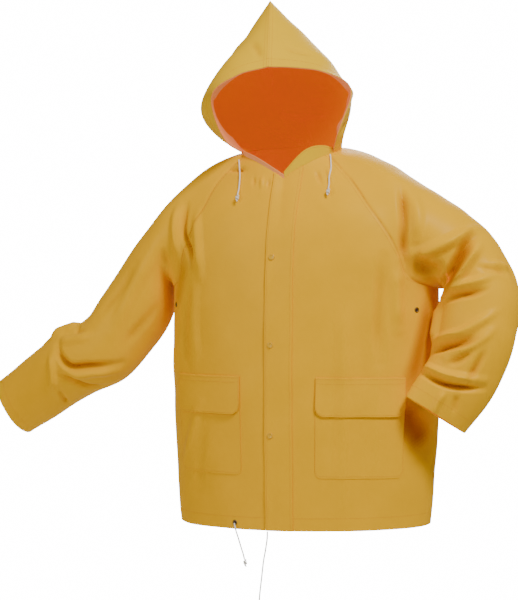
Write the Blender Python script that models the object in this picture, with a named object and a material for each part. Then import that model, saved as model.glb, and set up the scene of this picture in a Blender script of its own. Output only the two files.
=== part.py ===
"""Hooded rain jacket, filled out and hollow, as a set of cut cloth pieces.

Every cloth piece is a thin wall. The walls come from one skin: rings around the torso, rings
along each sleeve and arches over the hood, all worked out from the short tables below. The skin
is split at the seams a maker would sew. Metres, +Z up, the front faces -Y, +X is the wearer's
left, and the origin is in the neck opening.
"""

import math

import bmesh
import bpy
import numpy as np
from mathutils import Vector
from mathutils.bvhtree import BVHTree

# ---------------------------------------------------------------- driving dimensions
CLOTH = 0.0012  # one layer of coated cloth
SEAM_GAP = 0.0003  # between two pieces sewn together
SEAM_PULL = 0.0002  # each piece stops this far short of a seam
MITRE_STEADY = 0.02  # keeps the walls even where facets are nearly flat to each other
MITRE_LIMIT = 1.8  # longest mitre, in wall thicknesses
BACK_LENGTH = 0.767  # side of the neck to the hem
ARMPIT_Z = -0.285
HEM_TILT = 0.026  # the hem hangs this much lower per metre towards the wearer's right
HEM_TURN = 0.025  # hem fold, and the fold at the hood's edge

PLACKET_FREE = 0.026  # free edge, from the centre front towards the wearer's right
PLACKET_SEWN = 0.030  # stitched edge, towards the wearer's left
FLAP_WIDTH = 0.178
FLAP_TOP_Z = -0.462
FLAP_LOW_Z = -0.538
FLAP_IN_LEFT = 0.078  # centre front to the flap, along the cloth
FLAP_IN_RIGHT = 0.083
FLAP_CORNER = 0.020  # how much a lower corner is rounded off
POCKET_LOW_Z = -0.660
POCKET_CLOTH = 0.0008

SNAP_RADIUS = 0.0062
SNAP_HEIGHT = 0.0022
SNAP_FROM_EDGE = 0.012
SNAP_HEIGHTS = (-0.223, -0.398, -0.578)
EYELET_RADIUS = 0.0055
EYELET_HOLE = 0.0025
EYELET_HEIGHT = 0.0012
CORD_DIAMETER = 0.003
CORD_SIDES = 2  # bevel resolution of a cord
KNOT_RADIUS = 0.0048
KNOT_LENGTH = 0.016

# The section of the torso at each height: superellipse quarters, front and back.
TORSO = [
    # height, half width, front, back, front squareness, back squareness
    (-0.767, 0.270, 0.152, 0.140, 1.95, 2.0),
    (-0.650, 0.280, 0.156, 0.140, 1.90, 2.0),
    (-0.500, 0.288, 0.159, 0.140, 1.90, 2.0),
    (-0.380, 0.288, 0.158, 0.140, 1.95, 2.0),
    (-0.285, 0.285, 0.155, 0.140, 2.10, 2.2),
    (-0.200, 0.285, 0.148, 0.143, 2.30, 2.4),
    (-0.120, 0.275, 0.132, 0.138, 2.40, 2.4),
    (-0.060, 0.250, 0.112, 0.122, 2.40, 2.4),
    (-0.010, 0.200, 0.095, 0.100, 2.20, 2.2),
    (0.030, 0.150, 0.075, 0.082, 2.00, 2.0),
]

# The raglan seam, from the armpit up to the neck: where it crosses each section.
RAGLAN = [
    # height, front angle, back angle, in degrees from the centre front and the centre back
    (-0.285, 90.0, 90.0),
    (-0.278, 74.0, 78.0),
    (-0.262, 59.0, 66.0),
    (-0.225, 54.0, 60.0),
    (-0.180, 47.0, 54.0),
    (-0.125, 37.0, 46.0),
    (-0.070, 29.0, 38.0),
    (-0.004, 21.0, 30.0),
]

# The neck seam: a slightly tilted loop, read by the angle from the centre front.
NECK_CENTRE = (-0.020, -0.012)
NECK_HALF_WIDTH = 0.104
NECK_HALF_DEPTH = 0.090
NECK_FRONT_TURN = 8.0  # degrees that the centre front sits off the loop's own middle
NECK_RAGLAN_FRONT = 62.0
NECK_RAGLAN_BACK = 118.0
NECK_HEIGHTS = [
    # angle from the centre front, height
    (0.0, -0.064),
    (14.0, -0.047),
    (34.0, -0.027),
    (62.0, -0.010),
    (90.0, 0.002),
    (135.0, 0.014),
    (180.0, 0.020),
]

# The bands on the front neckline.
NECKBAND_LEFT = [
    # angle on the neck, rise, how far the top stands out
    (8.0, 0.014, 0.004),
    (30.0, 0.030, 0.004),
    (50.0, 0.024, 0.003),
    (72.0, 0.008, 0.002),
]
NECKBAND_RIGHT = [
    (3.0, 0.008, 0.002),
    (30.0, 0.010, 0.002),
    (50.0, 0.010, 0.002),
    (72.0, 0.008, 0.002),
]

# A sleeve's rings, from the shoulder to the cuff.
SLEEVE_RIGHT = [
    # ring, centre x, y, z, outward x, y, z, half width, half depth
    ("deltoid", -0.316, 0.000, -0.208, -0.30, 0.0, 0.95, 0.070, 0.090),
    ("upper", -0.353, -0.006, -0.285, -0.64, 0.0, 0.77, 0.078, 0.080),
    ("mid", -0.398, -0.012, -0.355, -0.75, 0.0, 0.66, 0.079, 0.074),
    ("elbow", -0.458, -0.018, -0.422, -0.62, 0.0, 0.78, 0.077, 0.069),
    ("below", -0.532, -0.010, -0.451, -0.57, 0.0, 0.82, 0.077, 0.062),
    ("forearm", -0.616, 0.008, -0.499, -0.52, 0.0, 0.85, 0.073, 0.050),
    ("cuff", -0.702, 0.028, -0.549, -0.54, 0.0, 0.84, 0.069, 0.040),
]
SLEEVE_LEFT = [
    # ring, centre x, y, z, outward x, y, z, half width, half depth
    ("deltoid", 0.306, 0.002, -0.199, 0.03, 0.0, 1.00, 0.090, 0.092),
    ("upper", 0.333, 0.002, -0.226, 0.30, 0.0, 0.95, 0.085, 0.086),
    ("mid", 0.357, -0.002, -0.259, 0.72, 0.0, 0.69, 0.078, 0.080),
    ("elbow", 0.375, -0.010, -0.309, 0.97, 0.0, 0.23, 0.080, 0.077),
    ("below", 0.372, -0.038, -0.383, 1.00, 0.0, 0.08, 0.079, 0.064),
    ("forearm", 0.352, -0.058, -0.452, 0.95, 0.20, -0.23, 0.075, 0.050),
    ("cuff", 0.303, -0.082, -0.533, 0.72, 0.45, -0.53, 0.070, 0.032),
]
SLEEVE_NECK_ANGLE = 38.0  # half of the ring that the neck end of the sleeve takes up
FRONT_DIRECTION = (0.0, -1.0, 0.0)

# The hood's arches, from its open edge to the nape. Sideways values are mirrored.
HOOD = [
    # arch, foot angle on the neck, then (half width, back, height) of the cheek, the corner and
    # the brow, (back, height) of the ridge, and how far all four lean to the right
    ("edge", 72.0, (0.118, -0.075, 0.020), (0.143, -0.110, 0.108), (0.084, -0.128, 0.148), (-0.135, 0.160),
     (0.010, 0.043, 0.050, 0.075)),
    ("side", 88.0, (0.130, -0.035, 0.028), (0.154, -0.050, 0.100), (0.104, -0.066, 0.180), (-0.070, 0.235),
     (0.016, 0.043, 0.045, 0.062)),
    ("peak", 106.0, (0.126, 0.010, 0.035), (0.146, 0.012, 0.100), (0.092, 0.012, 0.204), (0.008, 0.318),
     (0.022, 0.042, 0.031, 0.046)),
    ("crown", 132.0, (0.098, 0.055, 0.045), (0.112, 0.070, 0.105), (0.066, 0.080, 0.190), (0.090, 0.262),
     (0.014, 0.030, 0.030, 0.036)),
    ("back", 158.0, (0.056, 0.086, 0.045), (0.060, 0.104, 0.085), (0.034, 0.116, 0.125), (0.124, 0.160),
     (0.006, 0.015, 0.018, 0.022)),
    ("nape", 180.0, (0.0, 0.090, 0.020), (0.0, 0.090, 0.020), (0.0, 0.090, 0.020), (0.090, 0.020),
     (0.0, 0.0, 0.0, 0.0)),
]
HOOD_ROLL = 0.07  # rise per metre towards the wearer's left
HOOD_TURN = 30.0  # degrees that the hood is turned to the wearer's left
HOOD_TURN_RISE = 0.070  # height over which it turns

# The cords: where each hangs, seen from the front. The last place is its knot's middle.
HOOD_CORD_RIGHT = [
    # sideways, height
    (-0.1170, -0.0200),
    (-0.1090, -0.0380),
    (-0.1037, -0.0522),
    (-0.1010, -0.0714),
    (-0.1000, -0.0850),
    (-0.0977, -0.1041),
]
HOOD_CORD_LEFT = [
    (0.0770, -0.0140),
    (0.0800, -0.0260),
    (0.0850, -0.0450),
    (0.0880, -0.0640),
    (0.0892, -0.0780),
    (0.0907, -0.0960),
]
HEM_CORD_RIGHT = [
    # offset from the eyelet
    (0.000, -0.0040, -0.0010),
    (0.004, -0.0070, -0.0120),
    (0.010, -0.0075, -0.0290),
    (0.016, -0.0070, -0.0480),
    (0.022, -0.0070, -0.0660),
    (0.025, -0.0070, -0.0790),
]
HEM_CORD_LEFT = [
    # offset from the hem's edge at the placket
    (0.000, 0.0000, -0.0025),
    (0.000, 0.0000, -0.0120),
    (-0.003, 0.0000, -0.0350),
    (-0.008, 0.0000, -0.0620),
    (-0.012, 0.0000, -0.0950),
    (-0.016, 0.0000, -0.1280),
    (-0.018, 0.0000, -0.1480),
]
HEM_EYELET_AT = (-0.097, -0.7570)
HEM_CORD_AT = (-0.027, -0.1420, -0.7690)
VENT_AT = ((0.2604, -0.328), (-0.2604, -0.318))

# Grid lines of the coarse cloth.
ROW_HEIGHTS = (-0.767, -0.742, -0.700, -0.660, -0.600, -0.538, -0.515, -0.478, -0.462, -0.415, -0.370, -0.328, -0.285)
FRONT_STEPS = 3  # columns between a flap's outer edge and the side seam
BACK_COLUMNS = 7  # columns on each half of the back
SEAM_ROWS = 8
NECK_END_COLUMNS = 6
ARMHOLE_RINGS = 5
FREE_RINGS = 12
HOOD_ARCS = 9
FACING = {
    # which way round each grid's cells run, seen from outside
    "front_left": 1,
    "front_right": -1,
    "back": -1,
    "sleeve_left": -1,
    "sleeve_right": 1,
    "hood_left": 1,
    "hood_right": -1,
    "neckband_left": 1,
    "neckband_right": -1,
}
CROWDING = 6.0  # how tightly the columns gather under the arm


# ---------------------------------------------------------------- curves through tables
def smooth(stations, values, at, first_slope=None):
    """Values at each place in `at`, on a cubic that passes through every station."""
    stations = np.asarray(stations, float)
    values = np.asarray(values, float)
    at = np.clip(np.asarray(at, float), stations[0], stations[-1])
    gaps = np.diff(stations).reshape((-1,) + (1,) * (values.ndim - 1))
    slopes = np.diff(values, axis=0) / gaps
    tangents = np.empty_like(values)
    tangents[0] = slopes[0] if first_slope is None else first_slope
    tangents[-1] = slopes[-1]
    share = gaps[:-1] / (gaps[:-1] + gaps[1:])
    tangents[1:-1] = slopes[:-1] * (1 - share) + slopes[1:] * share
    cell = np.clip(np.searchsorted(stations, at, side="right") - 1, 0, len(gaps) - 1)
    shape = at.shape + (1,) * (values.ndim - 1)
    gap = gaps[cell].reshape(shape)
    t = ((at - stations[cell]) / np.diff(stations)[cell]).reshape(shape)
    start, end = values[cell], values[cell + 1]
    rise, fall = tangents[cell] * gap, tangents[cell + 1] * gap
    return (
        start * (2 * t**3 - 3 * t**2 + 1)
        + rise * (t**3 - 2 * t**2 + t)
        + end * (3 * t**2 - 2 * t**3)
        + fall * (t**3 - t**2)
    )


def ease(t):
    """0 before 0, 1 after 1, with soft ends."""
    t = np.clip(t, 0.0, 1.0)
    return t * t * (3 - 2 * t)


def unit(vectors):
    vectors = np.asarray(vectors, float)
    return vectors / np.maximum(np.linalg.norm(vectors, axis=-1, keepdims=True), 1e-12)


# ---------------------------------------------------------------- the torso and the neck
def torso(angle, height):
    """Points on the torso, at angles in degrees from the centre front, + to the wearer's left."""
    angle, height = np.broadcast_arrays(np.asarray(angle, float), np.asarray(height, float))
    table = np.array(TORSO)
    half, front, back, front_square, back_square = np.moveaxis(
        smooth(table[:, 0], table[:, 1:], height), -1, 0
    )
    side, ahead = np.sin(np.radians(angle)), np.cos(np.radians(angle))
    square = np.where(ahead >= 0, front_square, back_square)
    reach = np.where(ahead >= 0, front, back)
    x = half * np.sign(side) * np.abs(side) ** (2 / square)
    y = -reach * np.sign(ahead) * np.abs(ahead) ** (2 / square)
    return np.stack([x, y, height], -1)


def angle_along(distance, height=FLAP_LOW_Z):
    """The angle that lies a distance along the cloth from the centre front."""
    angles = np.linspace(0, 90, 721)
    steps = np.linalg.norm(np.diff(torso(angles, height), axis=0), axis=1)
    return np.interp(distance, np.concatenate([[0], np.cumsum(steps)]), angles)


def neck(angle):
    """Points on the neck seam, at angles in degrees from the loop's own front."""
    angle = np.asarray(angle, float)
    table = np.array(NECK_HEIGHTS)
    turned = angle - NECK_FRONT_TURN * (1 - np.abs(angle) / 180)
    height = smooth(table[:, 0], table[:, 1:], np.abs(turned))[..., 0]
    x = NECK_CENTRE[0] + NECK_HALF_WIDTH * np.sin(np.radians(angle))
    y = NECK_CENTRE[1] - NECK_HALF_DEPTH * np.cos(np.radians(angle))
    return np.stack([x, y, height], -1)


def seam_rows(count):
    """The raglan seam's height and angles, at even steps from the armpit to the neck."""
    table = np.array(RAGLAN)
    points = torso(table[:, 1], table[:, 0])
    along = np.concatenate([[0], np.cumsum(np.linalg.norm(np.diff(points, axis=0), axis=1))])
    return smooth(along, table, np.linspace(0, along[-1], count + 1))


def crowded(share, widest, crowding):
    """Angles at shares 0 to 1 of a row that ends at `widest` degrees, gathered under the arm."""
    even = np.minimum(widest, 60.0)
    return share * even + (widest - even) * share**crowding


def body_panel(shares, fixed, neck_angles, side, at_back, heights, seam_steps):
    """The grid of a front or of half of the back: rows from the hem to the neck.

    A share runs from 0 to 1 between the placket's edge and the side; -1 is the centre front.
    """
    shares = np.asarray(shares, float)
    neck_points = neck(neck_angles)
    rows = []
    for height in heights:
        crowding = 1 + (CROWDING - 1) * ease((height - FLAP_TOP_Z) / (ARMPIT_Z - FLAP_TOP_Z))
        rows.append((np.full(shares.shape, height), 90.0, crowding, 0.0))
    seam = seam_rows(seam_steps)[1:]
    for step, (height, front_angle, back_angle) in enumerate(seam, 1):
        risen = (height - ARMPIT_Z) / (RAGLAN[-1][0] - ARMPIT_Z)
        level = ARMPIT_Z + risen * (neck_points[:, 2] - ARMPIT_Z)
        widest = back_angle if at_back else front_angle
        rows.append((level, widest, CROWDING, ease((step / seam_steps - 0.45) / 0.55)))
    grid = []
    for level, widest, crowding, _ in rows:
        held = np.zeros(shares.shape)
        if fixed > 0:
            table = np.array(TORSO)
            half, square = smooth(table[:, 0], table[:, [1, 4]], level).T
            held = np.degrees(np.arcsin((fixed / half) ** (square / 2)))
        past = held + crowded(np.maximum(shares, 0), widest - held, crowding)
        angles = np.where(shares <= 0, held * (1 + shares), past) if fixed > 0 else past
        grid.append(torso(side * (180 - angles if at_back else angles), level))
    blends = np.array([row[3] for row in rows]).reshape(-1, 1, 1)
    grid = np.array(grid) + blends * (neck_points - grid[-1])
    grid[..., 2] += HEM_TILT * grid[..., 0] * ease((FLAP_LOW_Z - grid[..., 2]) / 0.2)
    return grid


# ---------------------------------------------------------------- the sleeves
def tube(table, around, at):
    """Points of a sleeve's free part, at shares 0 to 1 of its length and angles from its top."""
    rows = np.array([row[1:] for row in table])
    steps = np.linalg.norm(np.diff(rows[:, :3], axis=0), axis=1)
    along = np.concatenate([[0], np.cumsum(steps)])
    at = np.asarray(at, float) * along[-1]
    values = smooth(along, rows, at)
    centre, outward = values[:, :3], unit(values[:, 3:6])
    axis = smooth(along, rows[:, :3], at + 1e-3) - smooth(along, rows[:, :3], at - 1e-3)
    ahead = unit(np.cross(outward, axis))
    ahead *= np.sign(ahead @ np.array(FRONT_DIRECTION))[:, None]
    turn = np.radians(around)
    out = (values[:, 6:7] * np.cos(turn))[..., None] * outward[:, None]
    return centre[:, None] + out + (values[:, 7:8] * np.sin(turn))[..., None] * ahead[:, None]


def sleeve(table, side, front_seam, back_seam, neck_arc, armhole_rings, free_rings):
    """Rings from the armhole to the cuff. A ring starts under the arm and comes round the front."""
    armhole = np.concatenate([front_seam, neck_arc[1:-1], back_seam[:0:-1]])
    steps = len(front_seam) - 1

    def seam_share(seam):
        lengths = np.linalg.norm(np.diff(seam, axis=0), axis=1)
        return 1 - np.concatenate([[0], np.cumsum(lengths)]) / lengths.sum()

    front_share, back_share = seam_share(front_seam), seam_share(back_seam)
    span = 180 - SLEEVE_NECK_ANGLE
    arc = np.linspace(SLEEVE_NECK_ANGLE, -SLEEVE_NECK_ANGLE, len(neck_arc))[1:-1]
    around = np.concatenate([
        SLEEVE_NECK_ANGLE + span * front_share,
        arc,
        -SLEEVE_NECK_ANGLE - span * back_share[:0:-1],
    ])
    share = np.concatenate([front_share, np.zeros(len(arc)), back_share[:0:-1]])
    rows = seam_rows(steps)
    bodily = []
    for angles, turned in ((rows[:, 1], False), (rows[:, 2], True)):
        here = side * (180 - angles if turned else angles)
        there = side * (180 - angles - 1 if turned else angles + 1)
        bodily.append(unit(torso(there, rows[:, 0]) - torso(here, rows[:, 0])))
    flat = np.tile((side, 0.0, -0.15), (len(arc), 1))
    body_way = unit(np.concatenate([bodily[0], flat, bodily[1][:0:-1]]))
    free = tube(table, around, np.linspace(0, 1, free_rings + 1))
    leaving = unit(tube(table, around, [0.01])[0] - free[0])
    chord = free[0] - armhole
    reach = np.linalg.norm(chord, axis=1, keepdims=True)
    straight = ease((share - 0.35) / 0.65)[:, None]
    starting = unit((1 - straight) * body_way + straight * unit(chord))
    blend = []
    for t in np.linspace(0, 1, armhole_rings + 1)[:-1]:
        blend.append(
            armhole * (2 * t**3 - 3 * t**2 + 1)
            + starting * reach * (t**3 - 2 * t**2 + t)
            + free[0] * (3 * t**2 - 2 * t**3)
            + leaving * reach * (t**3 - t**2)
        )
    return np.concatenate([np.array(blend), free])


# ---------------------------------------------------------------- the hood
def hood(feet, steps, side):
    """Half of the hood: column by column from its open edge to the nape, each up to the ridge."""
    table = []
    for _, _, cheek, corner, brow, ridge, leans in HOOD:
        table.append([*cheek, *corner, *brow, 0.0, *ridge, *leans])
    fine = np.linspace(feet[0], 180.0, 121)
    read = smooth([row[1] for row in HOOD], table, fine)
    knots = read[:, :12].reshape(-1, 4, 3) * (side, 1.0, 1.0)
    foot = neck(side * fine)
    level = (foot[:, 2] + neck(-side * fine)[:, 2]) / 2
    rise = knots[..., 2] - level[:, None]
    x = knots[..., 0] - read[:, 12:]
    y = knots[..., 1]
    above = ease(rise / HOOD_TURN_RISE)
    knots[..., 2] += HOOD_ROLL * x * above
    turn = np.radians(HOOD_TURN) * above
    knots = np.stack([
        NECK_CENTRE[0] + x * np.cos(turn) - y * np.sin(turn),
        NECK_CENTRE[1] + x * np.sin(turn) + y * np.cos(turn),
        knots[..., 2],
    ], -1)
    knots[-1] = foot[-1]
    arches = np.concatenate([foot[:, None], knots], 1)
    chords = np.linalg.norm(np.diff(arches, axis=1), axis=2).mean(axis=0)
    along = np.concatenate([[0], np.cumsum(chords)])
    surface = smooth(along, arches.transpose(1, 0, 2), np.linspace(0, along[-1], steps + 1))
    rows = [neck(side * np.asarray(feet, float))]
    for line in surface[1:]:
        far = np.concatenate([[0], np.cumsum(np.linalg.norm(np.diff(line, axis=0), axis=1))])
        places = np.concatenate([[0], np.linspace(HEM_TURN, far[-1], len(feet) - 1)])
        rows.append(np.stack([np.interp(places, far, line[:, k]) for k in range(3)], -1))
    return np.array(rows)


# ---------------------------------------------------------------- the whole skin
def neck_angles(shares, fixed, side):
    """Where a front's columns meet the neck seam: the centre, the placket's edge, then evenly."""
    edge = math.degrees(math.asin((side * fixed - NECK_CENTRE[0]) / NECK_HALF_WIDTH))
    past = edge + (side * NECK_RAGLAN_FRONT - edge) * np.maximum(shares, 0)
    return np.where(shares <= 0, NECK_FRONT_TURN + (edge - NECK_FRONT_TURN) * (1 + shares), past)


def front_shares(flap_in, fixed):
    """Columns of a front: the centre, the placket's edge, the flap's columns, then to the side."""
    held = angle_along(fixed)
    across = np.array([0.0, FLAP_CORNER, FLAP_WIDTH / 2, FLAP_WIDTH - FLAP_CORNER, FLAP_WIDTH])
    flap = (angle_along(flap_in + across) - held) / (90 - held)
    side = np.linspace(flap[-1], 1, FRONT_STEPS + 1)[1:]
    return np.concatenate([[-1, 0], flap, side])


def skin():
    """Every cloth piece's grid on one shared skin."""
    heights = np.array(ROW_HEIGHTS)
    grids = {}
    arc = np.linspace(NECK_RAGLAN_FRONT, NECK_RAGLAN_BACK, NECK_END_COLUMNS + 1)
    half_backs = []
    for name, side, fixed, flap_in in (
        ("left", 1, PLACKET_SEWN, FLAP_IN_LEFT),
        ("right", -1, PLACKET_FREE, FLAP_IN_RIGHT),
    ):
        shares = front_shares(flap_in, fixed)
        angles = neck_angles(shares, fixed, side)
        front = body_panel(shares, fixed, angles, side, False, heights, SEAM_ROWS)
        shares = np.linspace(0, 1, BACK_COLUMNS + 1)
        angles_back = side * (180 + (NECK_RAGLAN_BACK - 180) * shares)
        back = body_panel(shares, 0.0, angles_back, side, True, heights, SEAM_ROWS)
        below = len(heights) - 1
        seams = front[below:, -1], back[below:, -1]
        table = SLEEVE_LEFT if side > 0 else SLEEVE_RIGHT
        grids["front_" + name] = front
        grids["sleeve_" + name] = sleeve(table, side, *seams, neck(side * arc), ARMHOLE_RINGS, FREE_RINGS)
        feet = np.concatenate([arc[1:], abs(angles_back[-2::-1])])
        grids["hood_" + name] = hood(feet, HOOD_ARCS, side)
        band = np.concatenate([angles, [side * arc[1]]])
        grids["neckband_" + name] = neckband(band, NECKBAND_LEFT if side > 0 else NECKBAND_RIGHT)
        half_backs.append(back)
    grids["back"] = np.concatenate([half_backs[1][:, :0:-1], half_backs[0]], 1)
    return grids


def neckband(angles, table):
    """A band standing on the front neckline."""
    foot = neck(angles)
    table = np.array(table)
    rise, out = smooth(table[:, 0], table[:, 1:], np.abs(angles)).T
    inward = foot - np.array([*NECK_CENTRE, 0.0])
    inward[:, 2] = 0.0
    top = foot + unit(inward) * out[:, None] + np.array((0, 0, 1)) * rise[:, None]
    return np.array([foot, (foot + top) / 2, top])


def triangles(rows, columns, wrap, mirrored=0):
    """Two triangles a cell, on the same diagonal but for the first `mirrored` columns."""
    faces = []
    for i in range(rows - 1):
        for j in range(columns if wrap else columns - 1):
            a, b = i * columns + j, i * columns + (j + 1) % columns
            c, d = a + columns, b + columns
            faces += [(a, b, c), (b, d, c)] if j < mirrored else [(a, b, d), (a, d, c)]
    return faces


def normals(grids):
    """Outward ways, shared where grids meet: one step along them is one step out of every facet."""
    facets = {}
    for name, grid in grids.items():
        points = grid.reshape(-1, 3)
        keys = [tuple(key) for key in np.round(points * 1e5).astype(int)]
        for face in triangles(grid.shape[0], grid.shape[1], name.startswith("sleeve")):
            a, b, c = (points[k] for k in face)
            area = FACING[name] * np.cross(b - a, c - a)
            if np.linalg.norm(area) > 1e-12:
                for k in face:
                    facets.setdefault(keys[k], []).append(unit(area))
    ways = {}
    for key, around in facets.items():
        around = np.array(around)
        middle = unit(around.mean(axis=0))
        steady = MITRE_STEADY * len(around)
        side = around.T @ around + steady * np.eye(3)
        way = np.linalg.solve(side, around.sum(axis=0) + steady * middle)
        ways[key] = way * min(1.0, MITRE_LIMIT / np.linalg.norm(way))
    result = {}
    for name, grid in grids.items():
        keys = np.round(grid.reshape(-1, 3) * 1e5).astype(int)
        result[name] = np.array([ways[tuple(key)] for key in keys]).reshape(grid.shape)
    return result


def pulled(grid, wrap, amounts):
    """A grid with its first row, last row, first column and last column moved into the piece."""
    result = grid.copy()
    first_row, last_row, first_column, last_column = amounts
    result[0] += first_row * unit(grid[1] - grid[0])
    result[-1] += last_row * unit(grid[-2] - grid[-1])
    if not wrap:
        result[:, 0] += first_column * unit(grid[:, 1] - grid[:, 0])
        inward = grid[:, -2] - grid[:, -1]
        if np.ptp(grid[:, -1], axis=0).max() < 1e-6:
            inward = np.tile(inward.mean(axis=0), (len(grid), 1))
            result[:, -1] = grid[:, -1]
        result[:, -1] += last_column * unit(inward)
    return result


# ---------------------------------------------------------------- solids
def add_solid(name, points, faces, material):
    """One closed object; points that fall together are joined first."""
    found, order, kept = {}, [], []
    for point in points:
        key = tuple(np.round(np.asarray(point) * 1e7).astype(int))
        if key not in found:
            found[key] = len(kept)
            kept.append([float(value) for value in point])
        order.append(found[key])
    clean = []
    for face in faces:
        ring = []
        for k in face:
            if order[k] not in ring:
                ring.append(order[k])
        if len(ring) > 2:
            clean.append(ring)
    mesh = bpy.data.meshes.new(name)
    mesh.from_pydata(kept, [], clean)
    work = bmesh.new()
    work.from_mesh(mesh)
    bmesh.ops.recalc_face_normals(work, faces=work.faces)
    work.to_mesh(mesh)
    work.free()
    mesh.materials.append(material)
    thing = bpy.data.objects.new(name, mesh)
    bpy.context.scene.collection.objects.link(thing)
    return thing


def add_wall(name, grid, out, top, bottom, material, wrap=False, mirrored=0):
    """A wall on a grid, between `bottom` and `top` metres out of it."""
    rows, columns = grid.shape[:2]
    count = rows * columns
    points = np.concatenate([(grid + top * out).reshape(-1, 3), (grid + bottom * out).reshape(-1, 3)])
    outer = triangles(rows, columns, wrap, mirrored)
    faces = outer + [tuple(k + count for k in reversed(face)) for face in outer]
    rims = []
    if wrap:
        for row in (0, rows - 1):
            loop = [row * columns + j for j in range(columns)]
            rims.append(loop + loop[:1])
    else:
        loop = [j for j in range(columns)]
        loop += [i * columns + columns - 1 for i in range(1, rows)]
        loop += [(rows - 1) * columns + j for j in range(columns - 2, -1, -1)]
        loop += [i * columns for i in range(rows - 2, -1, -1)]
        rims.append(loop)
    for loop in rims:
        for a, b in zip(loop, loop[1:]):
            faces += [(a, b, b + count), (a, b + count, a + count)]
    return add_solid(name, points, faces, material)


# ---------------------------------------------------------------- trims
def tree_of(*names):
    """A surface to seat trims on, from finished pieces."""
    points, faces = [], []
    for name in names:
        mesh = bpy.data.objects[name].data
        faces += [[k + len(points) for k in face.vertices] for face in mesh.polygons]
        points += [vertex.co.copy() for vertex in mesh.vertices]
    return BVHTree.FromPolygons(points, faces)


def seen(tree, sideways, height):
    """The surface point and outward normal met from in front."""
    place, normal, _, _ = tree.ray_cast(Vector((sideways, -0.6, height)), Vector((0, 1, 0)))
    return np.array(place), np.array(normal)


def frame_at(normal):
    """Two directions across a normal."""
    across = unit(np.cross((0.0, 0.0, 1.0), normal))
    return across, np.cross(normal, across)


def seat(tree, place, normal, radius):
    """How far out a round trim has to sit to clear the surface below all of its rim."""
    across, upward = frame_at(normal)
    heights = [0.0]
    for turn in np.linspace(0, 2 * math.pi, 17)[:-1]:
        rim = place + radius * (math.cos(turn) * across + math.sin(turn) * upward)
        met = tree.ray_cast(Vector(rim + 0.01 * normal), Vector(-normal))[0]
        if met is not None:
            heights.append(float((np.array(met) - place) @ normal))
    return max(heights) + SEAM_GAP


def turned_solid(name, place, normal, profile, material, sides=16, closed_profile=False):
    """A round solid about a normal, from (radius, height) pairs; open profiles end on the axis."""
    across, upward = frame_at(normal)
    points, faces = [], []
    for radius, height in profile:
        for k in range(sides):
            turn = 2 * math.pi * k / sides
            round_way = math.cos(turn) * across + math.sin(turn) * upward
            points.append(place + height * normal + radius * round_way)
    count = len(profile)
    for i in range(count if closed_profile else count - 1):
        for k in range(sides):
            a, b = i * sides + k, i * sides + (k + 1) % sides
            c, d = (i + 1) % count * sides + k, (i + 1) % count * sides + (k + 1) % sides
            faces.append((a, b, d, c))
    if not closed_profile:
        faces.append(tuple(range(sides - 1, -1, -1)))
        faces.append(tuple(range((count - 1) * sides, count * sides)))
    return add_solid(name, points, faces, material)


def add_snap(name, tree, sideways, height, material):
    place, normal = seen(tree, sideways, height)
    base = seat(tree, place, normal, SNAP_RADIUS)
    profile = [
        (SNAP_RADIUS, base),
        (SNAP_RADIUS, base + 0.5 * SNAP_HEIGHT),
        (0.75 * SNAP_RADIUS, base + SNAP_HEIGHT),
        (0.45 * SNAP_RADIUS, base + SNAP_HEIGHT),
        (0.40 * SNAP_RADIUS, base + 0.8 * SNAP_HEIGHT),
    ]
    return turned_solid(name, place, normal, profile, material)


def add_eyelet(name, tree, sideways, height, material):
    place, normal = seen(tree, sideways, height)
    base = seat(tree, place, normal, EYELET_RADIUS)
    profile = [
        (EYELET_HOLE, base),
        (EYELET_RADIUS, base),
        (EYELET_RADIUS, base + 0.4 * EYELET_HEIGHT),
        (0.75 * EYELET_RADIUS, base + EYELET_HEIGHT),
        (EYELET_HOLE, base + 0.6 * EYELET_HEIGHT),
    ]
    turned_solid(name, place, normal, profile, material, closed_profile=True)
    return place, normal


def add_cord(name, points, material):
    """A round cord with filled ends, on a smooth curve through the points."""
    points = np.array(points)
    lengths = np.linalg.norm(np.diff(points, axis=0), axis=1)
    along = np.concatenate([[0], np.cumsum(lengths)])
    count = max(int(along[-1] / (2.2 * CORD_DIAMETER)), 6)
    middle = smooth(along, points, np.linspace(0, along[-1], count + 1))
    curve = bpy.data.curves.new(name, "CURVE")
    curve.dimensions = "3D"
    curve.bevel_depth = 0.5 * CORD_DIAMETER
    curve.bevel_resolution = CORD_SIDES
    curve.use_fill_caps = True
    spline = curve.splines.new("POLY")
    spline.points.add(count)
    for point, place in zip(spline.points, middle):
        point.co = (*place, 1.0)
    curve.materials.append(material)
    thing = bpy.data.objects.new(name, curve)
    bpy.context.scene.collection.objects.link(thing)
    return thing


def add_knot(name, place, way, material):
    """A drop-shaped overhand knot with its short tail, `way` pointing up the cord."""
    profile = []
    for share, wide in ((0.0, 0.40), (0.14, 0.50), (0.34, 0.55), (0.50, 0.92), (0.68, 1.0), (0.86, 0.80), (1.0, 0.42)):
        profile.append((KNOT_RADIUS * wide, (share - 0.5) * KNOT_LENGTH))
    return turned_solid(name, place, way, profile, material, sides=10)


def hung_cord(name, tree, route, material):
    """A cord and its knot that hang against the cloth."""
    points = []
    for sideways, height in route[:-1]:
        place, normal = seen(tree, sideways, height)
        points.append(place + normal * (0.5 * CORD_DIAMETER + 0.0012))
    place, normal = seen(tree, *route[-1])
    knot = place + normal * (KNOT_RADIUS + 0.0015)
    way = unit(points[-1] + normal * 0.0030 - knot)
    points.append(knot + way * (0.5 * KNOT_LENGTH + 2 * SEAM_GAP))
    add_cord(name, points, material)
    add_knot(name + "_knot", knot, way, material)


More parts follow.
